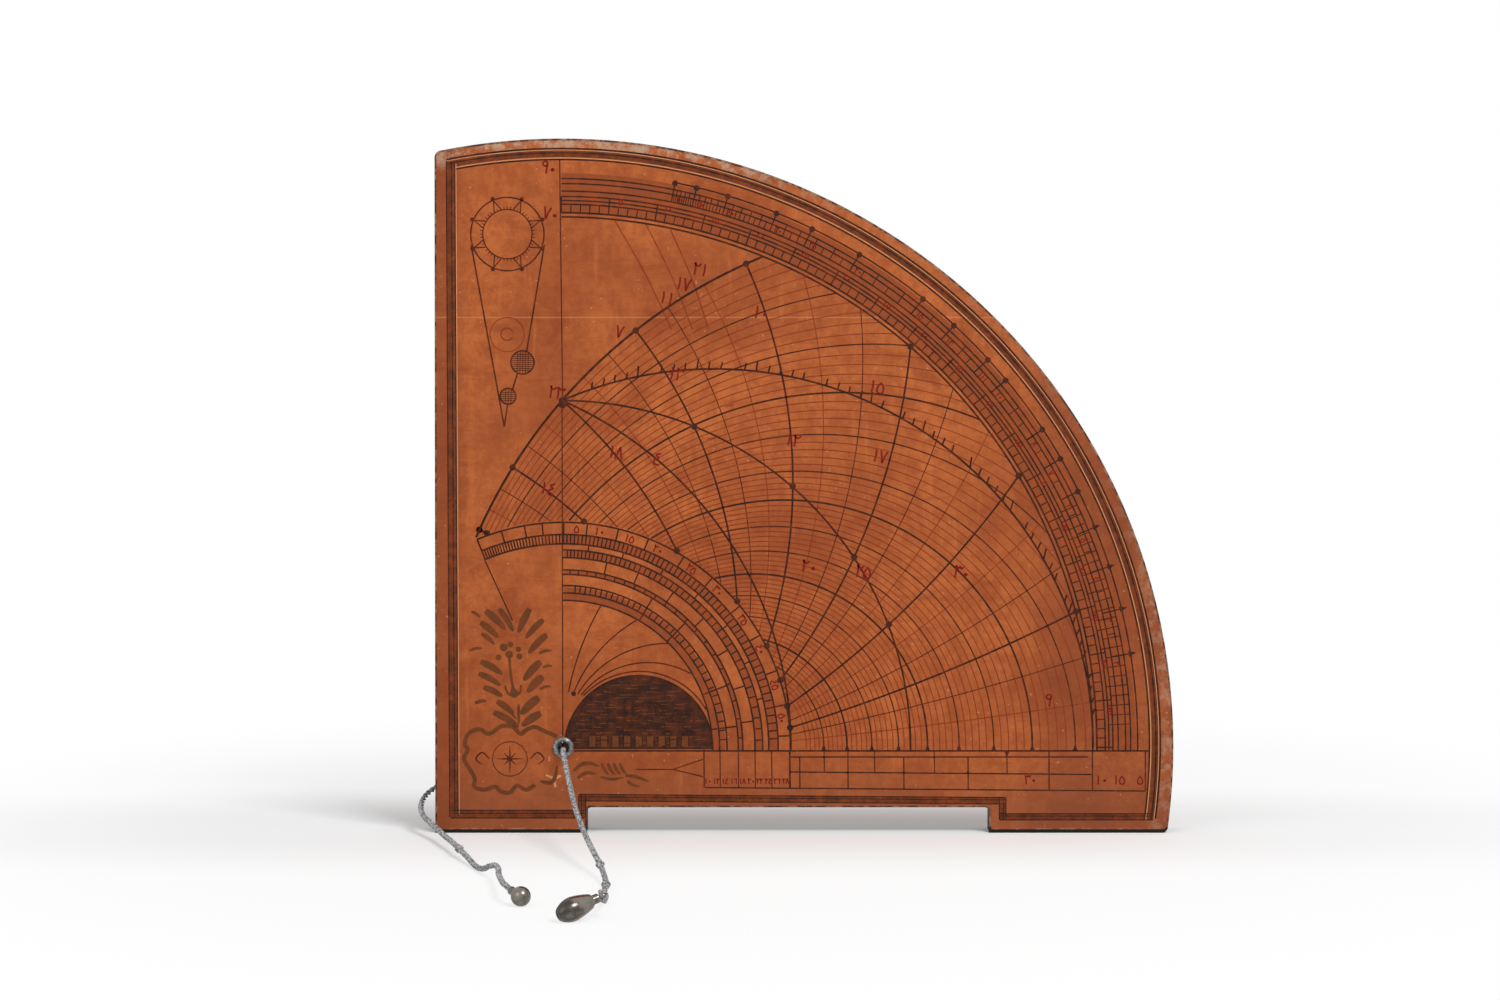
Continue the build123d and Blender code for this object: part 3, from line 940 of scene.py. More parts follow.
@dataclass(frozen=True)
class InnerScales:
    """The rings inside the net, with four ladders and the cells between them, in millimetres."""

    centre: Point = (0.4, 0.0)
    wide_radii: tuple[float, ...] = (70.3, 66.5, 63.6)
    radii: tuple[float, ...] = (61.7, 59.3, 55.5, 54.1, 50.6, 48.3, 46.0)
    washes: tuple[Point, ...] = ((65.0, 2.8), (60.5, 2.3), (54.8, 1.3), (48.0, 4.0))
    ladders: tuple[tuple[float, ...], ...] = (
        (63.6, 66.5, 112.5, 0.8, 2.6), (59.3, 61.7, 89.0, 1.1, 3.8),
        (54.1, 55.5, 88.0, 2.6, 6.5), (48.3, 50.6, 86.0, 1.6, 3.1),
    )
    cells: tuple[float, ...] = (106, 100, 95.5, 90, 84, 76, 68, 58, 49, 39, 30, 20, 11, 3)
    middle_cells: tuple[float, ...] = (83, 73, 61, 49, 37, 25, 14)
    inner_cells: tuple[float, ...] = (59.5, 46, 21, 7)
    left_end: float = 112.5
    wide_pen: float = 0.52
    ring_pen: float = 0.5
    cell_pen: float = 0.46
    middle_pen: float = 0.44
    tick_pen: float = 0.42

    def ladder(
        self, drawing: Drawing, inner: float, outer: float, start: float, near: float, far: float
    ) -> None:
        """Draws ticks whose spacing grows toward the right.

        Args:
            drawing: The drawing.
            inner: The inner radius.
            outer: The outer radius.
            start: The angle where the ticks begin.
            near: The first spacing in millimetres.
            far: The last spacing.
        """
        angle = start
        while angle > 1.0:
            drawing.tick(self.centre, inner, outer, angle, self.tick_pen)
            share = (start - angle) / start
            angle -= math.degrees((near + (far - near) * share) / outer)

    def draw(self, sheet: Sheet) -> None:
        """Draws the rings, the ladders, the separators and the numbers.

        Args:
            sheet: The sheet that holds the drawings.
        """
        wash = sheet.ink("sun_scale_wash", Ink.WASH, lift=0.006)
        rings = sheet.ink("sun_scale_rings", Ink.BLACK, lift=0.034)
        ticks = sheet.ink("sun_scale_ladders", Ink.BLACK, lift=0.032)
        numbers = sheet.ink("sun_scale_numbers", Ink.RED, lift=0.03)
        outer, numbered, wide = self.wide_radii
        for radius, width in self.washes:
            wash.arc(self.centre, radius, low_end(radius), 90, width)
        for radius in self.wide_radii:
            rings.arc(self.centre, radius, low_end(radius), self.left_end, self.wide_pen)
        for radius in self.radii:
            rings.arc(self.centre, radius, low_end(radius), 90.4, self.ring_pen)
        rings.tick(self.centre, wide, outer, self.left_end, self.ring_pen)
        rings.line((-24.3, 58.9), (-15.6, 39.7), 0.36)
        for ladder in self.ladders:
            self.ladder(ticks, *ladder)
        for count, angle in enumerate(self.cells):
            ticks.tick(self.centre, numbered, outer, angle, self.cell_pen)
            if 2 < count < 13:
                middle = polar(68.3, angle - 3.2, self.centre)
                numbers.numeral(5 * (count - 2), middle, 2.4, angle - 93, self.tick_pen)
        for angle in self.middle_cells:
            ticks.tick(self.centre, self.radii[0], wide, angle, self.middle_pen)
            ticks.tick(self.centre, self.radii[2], self.radii[1], angle - 6, self.middle_pen)
        for angle in self.inner_cells:
            ticks.tick(self.centre, self.radii[6], self.radii[3], angle, self.cell_pen)


@dataclass(frozen=True)
class HourArcs:
    """The five unequal-hour arcs between the apex and the innermost ring, in millimetres."""

    reach: float = 46.0
    first_hour: int = 75
    hour_step: int = 15
    start_gap: float = 17.4
    arc_pen: float = 0.42
    upright_pen: float = 0.36

    def draw(self, sheet: Sheet) -> None:
        """Draws the arcs and the upright line to the border.

        Args:
            sheet: The sheet that holds the drawings.
        """
        arcs = sheet.ink("hour_arcs", Ink.BROWN, lift=0.016)
        upright = sheet.ink("upright_line", Ink.BROWN, lift=0.036)
        for angle in range(self.first_hour, 0, -self.hour_step):
            radius = self.reach / (2 * math.cos(math.radians(angle)))
            arcs.ring(
                Circle((radius, 0.0), radius),
                lambda place: self.start_gap < math.hypot(*place) < self.reach and place[1] > 0,
                self.arc_pen,
                step=0.6,
            )
        arcs.dot((3.3, 16.8), 0.8, 8)
        upright.line((-0.5, 182.2), (0.2, 107.4), self.upright_pen)
        upright.line((0.0, 106.6), (-0.1, 3.6), self.upright_pen)
        upright.dot((0.1, 107.0), 1.3)


@dataclass(frozen=True)
class Roundel:
    """The dark half disc beside the apex, with a plain arcade on a hill, in millimetres."""

    centre: Point = (23.5, -0.6)
    radius: float = 23.1
    rows: int = 22
    arches: int = 9
    arch_width: float = 3.6
    arch_half: float = 1.15
    light_width: float = 1.9
    floor_height: float = 4.4
    roof_lines: tuple[tuple[float, float, float, float], ...] = (
        (-17.5, 17.5, 1.2, 0.5), (-16.5, 14.5, 2.1, 0.3),
    )
    hills: tuple[Place, ...] = ((-9.0, 7.5, 5.0), (3.5, 9.0, 7.6), (13.0, 5.0, 4.2))
    trees: tuple[Point, ...] = ((-4.4, 9.2), (-2.2, 7.4), (17.2, 5.0))
    tree_width: float = 1.5
    rim_pen: float = 0.5
    dash_pen: float = 0.36
    arch_pen: float = 0.34
    slope_pen: float = 0.26

    def draw(self, sheet: Sheet) -> None:
        """Draws the half disc, its hatching, the arcade, the hills and three trees.

        Args:
            sheet: The sheet that holds the drawings.
        """
        ground = sheet.ink("roundel_ground", Ink.SHADE, lift=0.008)
        light = sheet.ink("roundel_light_strokes", Ink.OLIVE, lift=0.016)
        dark = sheet.ink("roundel_dark_strokes", Ink.BLACK, lift=0.02)
        rim = sheet.ink("roundel_rim", Ink.BLACK, lift=0.024)
        ground.patch(arc_path(self.centre, self.radius, 0, 180))
        rim.arc(self.centre, self.radius, 0, 180, self.rim_pen)
        cx, cy = self.centre
        floor_y = cy + self.floor_height
        self.hatch(light, dark)
        for arch in range(self.arches):
            x = cx + self.arch_width * (arch + 0.5 - self.arches / 2)
            light.line((x, cy + 0.8), (x, floor_y - 0.3), self.light_width)
            dark.arc((x, floor_y - 0.6), self.arch_half, 0, 180, self.arch_pen)
            for side in (x - self.arch_half, x + self.arch_half):
                dark.line((side, cy + 0.6), (side, floor_y - 0.6), self.arch_pen)
        for left, right, height, pen in self.roof_lines:
            dark.line((cx + left, floor_y + height), (cx + right, floor_y + height), pen)
        for hill, (x, wide, high) in enumerate(self.hills):
            angles = [math.radians(angle) for angle in range(0, 181, 12)]
            foot = floor_y + 2.4
            ridge = [(cx + x + wide * math.cos(a), foot + high * math.sin(a)) for a in angles]
            dark.stroke(ridge, self.dash_pen)
            for line in range(3 + hill % 2):
                lean = wide * (-0.5 + 0.4 * line)
                top = (cx + x + lean * 0.5, floor_y + 1.8 + high)
                dark.line((cx + x + lean, floor_y + 2.9), top, self.slope_pen)
        for x, high in self.trees:
            foot = (cx + x, floor_y + 2.2)
            dark.line(foot, (foot[0], foot[1] + high), self.tree_width, Touch.FADE)

    def hatch(self, light: Drawing, dark: Drawing) -> None:
        """Fills the half disc with rows of short brush dashes.

        Args:
            light: The drawing for two dashes in three.
            dark: The drawing for the rest.
        """
        cx, cy = self.centre
        for row in range(self.rows):
            y = 1.0 + row
            half = math.sqrt((self.radius - 0.8) ** 2 - y * y)
            dashes = max(3, int(half / 3.2))
            for dash in range(dashes):
                start = cx - half + 2 * half * (dash + 0.18 * (row % 3)) / dashes
                length = 2 * half / dashes * (0.35 + 0.16 * ((row * 5 + dash * 3) % 4))
                end = min(start + length, cx + half)
                wave = 0.35 * math.sin(row * 1.7 + dash)
                drawing = light if (row + dash) % 3 else dark
                drawing.line((start, cy + y), (end, cy + y + wave), self.dash_pen, Touch.FADE)


@dataclass(frozen=True)
class LowerTable:
    """The ruled table under the apex, in millimetres."""

    right: float = 182.2
    top_pen: float = 0.5
    row_pen: float = 0.4
    row_lines: tuple[tuple[Point, Point], ...] = (
        ((70.6, -3.0), (163.5, -3.0)), ((70.6, -7.7), (164.4, -8.5)), ((44.2, -12.6), (181.2, -13.7)),
    )
    columns: tuple[tuple[float, float, float, float], ...] = (
        (43.8, -0.5, -12.6, 0.42), (48.8, -1.1, -12.7, 0.34), (54.5, -1.1, -12.7, 0.34),
        (59.7, -1.1, -12.7, 0.34), (64.9, -1.1, -12.8, 0.34), (70.5, -1.1, -12.9, 0.6),
        (73.6, -3.0, -12.9, 0.4), (81.2, -1.1, -7.6, 0.34), (88.6, -1.1, -13.0, 0.4),
        (96.9, -1.1, -7.8, 0.34), (106.0, -3.0, -13.1, 0.4), (115.5, -1.1, -8.0, 0.34),
        (126.0, -3.0, -13.2, 0.4), (138.1, -1.1, -8.2, 0.34), (151.2, -1.1, -13.4, 0.42),
        (164.7, -1.1, -13.5, 0.42), (181.2, -1.1, -13.7, 0.42),
    )
    first_marked: int = 7
    last_marked: int = 12
    small_numbers: Point = (44.9, -10.6)
    small_step: float = 2.7
    large_numbers: tuple[tuple[int, float], ...] = ((30, 145.3), (10, 167.4), (15, 172.9), (5, 179.4))
    bracket: tuple[Point, ...] = ((22.7, -6.9), (34.2, -6.9), (43.6, -3.7), (43.6, -9.2))
    bracket_pen: float = 0.36
    comb: tuple[Point, ...] = ((11.9, -4.9), (12.8, -7.0), (14.1, -8.6))
    comb_step: float = 1.9
    scroll: tuple[tuple[tuple[Point, ...], int, float], ...] = (
        (((3.4, -7.4), (5.6, -5.4), (8.4, -5.0), (11.2, -6.0)), 5, 1.3),
        (((4.4, -9.6), (7.2, -8.0), (10.4, -8.4)), 5, 1.1),
        (((11.6, -9.2), (15.0, -10.0), (18.9, -9.4)), 4, 0.9),
        (((19.3, -8.9), (22.6, -9.2), (26.7, -10.8)), 5, 1.1),
        (((19.9, -10.5), (21.6, -11.8), (23.9, -12.3)), 5, 1.0),
    )

    def draw(self, sheet: Sheet) -> None:
        """Draws the rows, the columns, the numbers, the bracket and the brushed scroll.

        Args:
            sheet: The sheet that holds the drawings.
        """
        rows = sheet.ink("table_rows", Ink.BLACK, lift=0.026)
        columns = sheet.ink("table_columns", Ink.BROWN, lift=0.022)
        numbers = sheet.ink("table_numbers", Ink.RED, lift=0.028)
        scroll = sheet.ink("table_scroll", Ink.OLIVE, lift=0.018)
        rows.line((3.4, BASELINE), (self.right, BASELINE), self.top_pen)
        for start, end in self.row_lines:
            rows.line(start, end, self.row_pen)
        for x, high, low, pen in self.columns:
            columns.line((x, high), (x + 0.1, low), pen)
        columns.patch([(138.1, -3.4), (138.9, BASELINE), (137.2, BASELINE)])
        for count, (x, *_) in enumerate(self.columns[self.first_marked : self.last_marked + 1]):
            columns.dot((x, -7.9 if count % 2 else -3.1), 0.5, 6)
        for corner, end in ((0, 1), (1, 2), (1, 3)):
            columns.line(self.bracket[corner], self.bracket[end], self.bracket_pen)
        left, height = self.small_numbers
        for count in range(10):
            numbers.numeral(10 + 2 * count, (left + self.small_step * count, height), 1.7, 0.0, 0.34)
        for value, x in self.large_numbers:
            numbers.numeral(value, (x, -10.2), 2.9, 0.0, 0.46)
        combs = [(tuple((x + self.comb_step * count, y) for x, y in self.comb), 4, 1.0) for count in range(4)]
        for points, parts, width in (*self.scroll[:2], *combs, *self.scroll[2:]):
            scroll.curve(points, parts, width, Touch.BRUSH)


@dataclass(frozen=True)
class EclipseDiagram:
    """The drawing of the sun, the moon and the shadow cone in the left strip, in millimetres."""

    sun: Point = (-16.7, 159.5)
    sun_radius: float = 11.3
    disc_radius: float = 7.6
    middle_ring: Point = (-16.9, 128.5)
    middle_radius: float = 5.3
    rays: int = 8
    ray_half: float = 9.0
    marks: int = 48
    cone: tuple[tuple[Point, Point], ...] = (
        ((-27.9, 156.2), (-17.9, 100.0)), ((-5.3, 156.2), (-10.9, 123.3)),
        ((-13.7, 116.6), (-15.3, 111.6)), ((-16.9, 106.6), (-17.9, 100.0)),
    )
    moons: tuple[tuple[Point, float], ...] = (((-12.2, 119.9), 3.6), ((-16.7, 109.4), 2.45))
    row_step: float = 0.62
    column_step: float = 0.84
    cone_pen: float = 0.48
    ring_pen: float = 0.46
    disc_pen: float = 0.4
    ray_pen: float = 0.36
    thin_pen: float = 0.32
    mark_pen: float = 0.24
    column_pen: float = 0.2

    def draw(self, sheet: Sheet) -> None:
        """Draws the circles, rays, cone and hatched discs.

        Args:
            sheet: The sheet that holds the drawings.
        """
        lines = sheet.ink("eclipse_lines", Ink.BROWN, lift=0.024)
        thin = sheet.ink("eclipse_ring", Ink.RUST, lift=0.02)
        hatched = sheet.ink("eclipse_hatching", Ink.SHADE, lift=0.016)
        lines.arc(self.sun, self.sun_radius, 0, 360, self.ring_pen)
        lines.arc(self.sun, self.disc_radius, 0, 360, self.disc_pen)
        for ray in range(self.rays):
            angle = 22.5 + 360 * ray / self.rays
            tip = polar(self.sun_radius - 0.2, angle, self.sun)
            for side in (self.ray_half, -self.ray_half):
                lines.line(polar(self.disc_radius, angle + side, self.sun), tip, self.ray_pen)
            lines.dot(polar(self.sun_radius + 0.4, angle, self.sun), 0.7, 8)
        for mark in range(self.marks):
            angle = 360 * mark / self.marks
            lines.tick(self.sun, self.disc_radius, self.disc_radius + 0.9, angle, self.mark_pen)
        for start, end in self.cone:
            lines.line(start, end, self.cone_pen)
        thin.arc(self.middle_ring, self.middle_radius, 0, 360, self.thin_pen)
        thin.arc((-16.9, 128.6), 1.9, 20, 330, self.disc_pen)
        for (x, y), radius in self.moons:
            lines.arc((x, y), radius, 0, 360, self.ring_pen)
            rows = int(radius / self.row_step)
            for row in range(-rows + 1, rows):
                up = row * self.row_step
                half = math.sqrt(radius * radius - up * up)
                hatched.line((x - half, y + up), (x + half, y + up), self.mark_pen)
            for column in range(-rows // 2 + 1, rows // 2 + 1):
                across = column * self.column_step
                half = math.sqrt(max(0.01, radius * radius - across * across))
                lines.line((x + across, y - half), (x + across + 0.2, y + half), self.column_pen)


@dataclass(frozen=True)
class FloralSpray:
    """The brushed spray of leaves with one flower in the left strip, in millimetres."""

    leaves: tuple[tuple[Point, Point, float], ...] = (
        ((-24.0, 42.8), (-17.8, 36.9), 2.3), ((-19.7, 43.4), (-15.3, 36.3), 1.9),
        ((-10.3, 43.4), (-13.8, 35.9), 2.3), ((-6.0, 40.0), (-11.6, 34.1), 2.0),
        ((-25.6, 39.1), (-20.0, 34.4), 2.1), ((-25.3, 35.6), (-21.2, 32.2), 1.5),
        ((-5.0, 35.3), (-10.7, 29.4), 2.3), ((-25.6, 26.9), (-18.8, 22.9), 2.2),
        ((-26.2, 23.2), (-19.4, 19.4), 2.0), ((-24.7, 18.8), (-18.8, 16.0), 2.0),
        ((-6.9, 26.9), (-12.2, 21.0), 2.6), ((-6.3, 22.2), (-11.0, 17.3), 2.6),
        ((-20.6, 14.5), (-15.3, 10.4), 2.1), ((-7.5, 15.7), (-13.1, 10.4), 2.8),
        ((-21.6, 11.0), (-13.8, 6.4), 2.2), ((-6.9, 10.7), (-12.8, 6.7), 2.6),
    )
    wisps: tuple[tuple[Point, Point, float], ...] = (
        ((-29.0, 30.3), (-25.0, 31.0), 0.9), ((-7.5, 29.4), (-3.5, 30.3), 1.0),
        ((-28.4, 42.5), (-25.6, 40.6), 1.1), ((-6.3, 25.0), (-3.2, 25.4), 0.8),
        ((-7.2, 18.2), (-3.8, 19.1), 0.9), ((-27.5, 13.8), (-23.7, 14.5), 1.2),
        ((-20.0, 14.1), (-14.4, 8.8), 0.9), ((-13.8, 13.5), (-13.8, 7.3), 1.0),
    )
    petals: tuple[tuple[float, float, float], ...] = (
        (-18.4, 31.3, 1.3), (-16.3, 32.2, 0.9), (-13.8, 30.7, 0.9),
        (-20.0, 28.2, 0.95), (-13.5, 28.5, 1.0), (-16.7, 29.1, 1.25),
    )
    stem: tuple[Point, ...] = ((-16.7, 28.4), (-16.2, 22.6), (-15.3, 17.3))
    sepals: tuple[tuple[Point, ...], ...] = (
        ((-18.0, 19.4), (-17.2, 17.0), (-15.2, 15.9)), ((-13.0, 19.6), (-13.4, 17.2), (-15.2, 15.9)),
    )

    def draw(self, sheet: Sheet) -> None:
        """Draws the leaves, wisps, petals and stem.

        Args:
            sheet: The sheet that holds the drawings.
        """
        brush = sheet.ink("floral_spray", Ink.OLIVE, lift=0.014)
        for start, end, width in (*self.leaves, *self.wisps):
            middle = ((start[0] + end[0]) / 2, (start[1] + end[1]) / 2 + 0.35)
            brush.curve((start, middle, end), 6, width, Touch.BRUSH)
        for x, y, radius in self.petals:
            brush.dot((x, y), radius)
        brush.curve(self.stem, 5, 0.8)
        brush.line((-15.9, 19.6), (-15.3, 17.2), 2.2, Touch.WEDGE)
        brush.dot((-15.2, 16.9), 1.4)
        for sepal in self.sepals:
            brush.curve(sepal, 4, 0.7)


@dataclass(frozen=True)
class Cartouche:
    """The scalloped frame in the lower left corner, with a small plain star, in millimetres."""

    frame: tuple[Point, ...] = (
        (-1.9, 3.4), (-5.8, 5.1), (-8.9, 6.4), (-11.6, 5.4), (-13.3, 4.2), (-15.6, 6.4), (-19.1, 6.7),
        (-23.1, 4.2), (-25.9, 5.7), (-29.3, 4.5), (-30.6, 1.1), (-29.7, -0.8), (-30.9, -3.6),
        (-29.0, -7.0), (-27.5, -10.0), (-27.8, -12.3), (-24.7, -13.3), (-21.2, -12.3), (-19.7, -13.7),
        (-16.7, -14.2), (-14.4, -12.0), (-11.6, -13.3), (-8.8, -11.7),
    )
    corner: tuple[Point, ...] = ((-7.1, -10.6), (-4.1, -11.1), (-2.6, -9.4), (-1.9, -5.6))
    chip: tuple[Point, ...] = (
        (-5.6, -8.8), (-3.6, -9.9), (-2.7, -12.6), (-2.1, -12.4), (-2.4, -10.2), (-0.5, -9.0),
        (-1.0, -8.5), (-3.0, -9.2), (-5.2, -8.4),
    )
    brush_width: float = 1.3
    star: Point = (-16.6, -3.6)
    star_ring: float = 5.4
    ray_reaches: Point = (4.2, 2.6)
    ray_width: float = 0.62
    hook: tuple[Point, ...] = ((6.4, 0.0), (8.6, 2.0), (10.6, 0.0), (8.6, -1.8))
    hook_width: float = 0.5

    def draw(self, sheet: Sheet) -> None:
        """Draws the frame, the star inside it and the worn chip beside it.

        Args:
            sheet: The sheet that holds the drawings.
        """
        brush = sheet.ink("cartouche_frame", Ink.OLIVE, lift=0.014)
        pen = sheet.ink("cartouche_star", Ink.BROWN, lift=0.018)
        chip = sheet.ink("worn_chip", Ink.PALE, lift=0.012)
        brush.curve(self.frame, 4, self.brush_width)
        brush.curve(self.corner, 5, self.brush_width, Touch.BRUSH)
        for ray in range(8):
            tip = polar(self.ray_reaches[ray % 2], 45.0 * ray, self.star)
            pen.line(self.star, tip, self.ray_width, Touch.FADE)
        pen.arc(self.star, self.star_ring, 0, 360, 0.3)
        for side in (-1, 1):
            hook = tuple((self.star[0] + side * x, self.star[1] + y) for x, y in self.hook)
            pen.curve(hook, 5, self.hook_width, Touch.BRUSH)
        chip.patch(list(self.chip))


@dataclass(frozen=True)
class NetNumbers:
    """The plain numbers among the net's lines and the three lines above the horizon."""

    marks: tuple[tuple[int, float, float], ...] = (
        (90, -4.1, 179.9), (70, -3.5, 165.8), (23, -1.9, 110.5), (18, 16.4, 92.0), (4, 29.2, 90.1),
        (14, -4.7, 80.8), (7, 17.7, 129.4), (13, 35.1, 116.3), (10, 61.3, 135.3), (15, 97.1, 112.3),
        (12, 71.3, 95.8), (17, 98.1, 90.8), (20, 76.3, 56.5), (25, 93.1, 54.9), (30, 123.6, 54.6),
        (9, 150.7, 14.8), (11, 32.4, 139.8), (17, 37.4, 144.2), (21, 42.8, 148.6),
    )
    long_lines: tuple[tuple[Point, Point], ...] = (
        ((16.4, 163.7), (33.9, 130.0)), ((26.1, 162.4), (40.4, 130.0)), ((33.6, 160.9), (45.4, 130.0)),
    )

    short_lines: tuple[Point, ...] = ((51.8, 106.3), (46.0, 96.1))
    number_height: float = 3.8
    number_turn: float = -12.0
    number_pen: float = 0.56
    line_pen: float = 0.4

    def draw(self, sheet: Sheet) -> None:
        """Writes the numbers and draws the three lines.

        Args:
            sheet: The sheet that holds the drawings.
        """
        numbers = sheet.ink("net_numbers", Ink.RED, lift=0.038)
        lines = sheet.ink("lines_above_horizon", Ink.RUST, lift=0.016)
        for value, x, y in self.marks:
            numbers.numeral(value, (x, y), self.number_height, self.number_turn, self.number_pen)
        for start, end in self.long_lines:
            middle = ((start[0] + end[0]) / 2 + 0.6, (start[1] + end[1]) / 2 + 0.5)
            lines.curve((start, middle, end), 8, self.line_pen)
        for x, y in self.short_lines:
            lines.line((x - 1.2, y), (x + 1.2, y + 0.5), self.line_pen)


@dataclass(frozen=True)
class SineQuadrant:
    """The grid of the back, a quarter of sixty parts with its degree scale, in millimetres."""

    radius: float = 168.0
    parts: int = 60
    limb_radii: tuple[float, ...] = (168.0, 170.6, 176.0, 178.6)
    eyelet_gap: float = 4.4
    number_height: float = 2.6
    number_pen: float = 0.44
    limb_pen: float = 0.5
    bold_pen: float = 0.46
    arc_pen: float = 0.42
    thin_pen: float = 0.26

    def draw(self, sheet: Sheet) -> None:
        """Draws the grid, the quarter circles, the ladder and the numbers.

        Args:
            sheet: The sheet that holds the drawings.
        """
        thin = sheet.ink("back_grid_parts", Ink.RUST, lift=0.014)
        bold = sheet.ink("back_grid_fives", Ink.BLACK, lift=0.02)
        numbers = sheet.ink("back_numbers", Ink.RED, lift=0.026)
        for part in range(self.parts):
            at = self.radius * part / self.parts
            reach = math.sqrt(self.radius**2 - at**2)
            start = 0.0 if at > 5 else self.eyelet_gap
            drawing, pen = (thin, self.thin_pen) if part % 5 else (bold, self.bold_pen)
            drawing.line((-reach, at), (-start, at), pen)
            drawing.line((-at, start), (-at, reach), pen)
            if part % 5 == 0 and part > 0:
                for place in ((3.4, at), (-at, -3.0)):
                    numbers.numeral(part, place, self.number_height, 0.0, self.number_pen)
        for radius in self.limb_radii:
            bold.arc(APEX, radius, 90, 180, self.limb_pen)
        half = self.radius / 2
        bold.arc((-half, 0.0), half, 0, 180, self.arc_pen)
        bold.arc((0.0, half), half, 90, 270, self.arc_pen)
        bold.arc(APEX, self.radius * 0.4, 90, 180, self.arc_pen)
        ladder, short, tall, _ = self.limb_radii
        for degree in range(91):
            if degree % 5:
                bold.tick(APEX, ladder, short, 90 + degree, 0.3)
                continue
            bold.tick(APEX, ladder, tall, 90 + degree, 0.4)
            if 0 < degree < 90:
                place = polar(173.2, 88.8 + degree)
                numbers.numeral(90 - degree, place, self.number_height, degree - 1.2, self.number_pen)


# Finishes


def srgb(red: int, green: int, blue: int) -> Colour:
    """Turns a display colour from 0 to 255 into the shader's colour."""
    return tuple(((c / 255 + 0.055) / 1.055) ** 2.4 for c in (red, green, blue))


FACE = srgb(158, 72, 28)


@dataclass(frozen=True)
class InkFinish:
    """One paint of the drawings, thinned and worn so that the face shows through."""

    name: str
    colour: Colour
    wear: float

    def material(self) -> bpy.types.Material:
        """Gives the paint's material, made once."""
        if self.name in bpy.data.materials:
            return bpy.data.materials[self.name]
        shader = Shader(self.name)
        patchy = shader.step(shader.noise(420, 4, 0.65), 0.35, 0.72, 0.0, self.wear)
        return shader.finish(shader.mix(patchy, self.colour, FACE), 0.6, Specular_IOR_Level=0.15)


class Ink(Enum):
    """The paints that the drawings are made with."""

    BLACK = InkFinish("black_ink", srgb(38, 15, 6), 0.22)
    BROWN = InkFinish("brown_ink", srgb(56, 20, 8), 0.3)
    RUST = InkFinish("rust_ink", srgb(124, 44, 18), 0.5)
    RED = InkFinish("red_ink", srgb(116, 14, 10), 0.15)
    BAND = InkFinish("band_paint", srgb(88, 42, 20), 0.45)
    OLIVE = InkFinish("olive_paint", srgb(92, 52, 24), 0.25)
    SHADE = InkFinish("shade_paint", srgb(46, 24, 15), 0.2)
    WASH = InkFinish("brown_wash", srgb(132, 66, 34), 0.75)
    PALE = InkFinish("bare_paper", srgb(204, 146, 100), 0.35)


@dataclass(frozen=True)
class Cloud:
    """A cloudy patch of colour: its noise, the levels that it turns between and its strength."""

    scale: float
    low: float
    high: float
    strength: float
    colour: Colour = FACE
    detail: int = 5
    rough: float = 0.7
    warp: float = 0.0
    stretch: Place = (1.0, 1.0, 1.0)

    def noise(self, shader: Shader) -> bpy.types.NodeSocket:
        """Adds the cloud's noise."""
        return shader.noise(self.scale, self.detail, self.rough, self.warp, shader.stretched(self.stretch))

    def share(self, shader: Shader) -> bpy.types.NodeSocket:
        """Gives how much of the cloud's colour there is."""
        return shader.step(self.noise(shader), self.low, self.high, 0.0, self.strength)


@dataclass(frozen=True)
class Fade:
    """A colour that fades along one axis, from one place in metres to another."""

    axis: int
    start: float
    end: float
    before: float
    after: float
    colour: Colour = FACE

    def share(self, shader: Shader) -> bpy.types.NodeSocket:
        """Gives how much of the colour there is."""
        return shader.step(shader.axes()[self.axis], self.start, self.end, self.before, self.after)


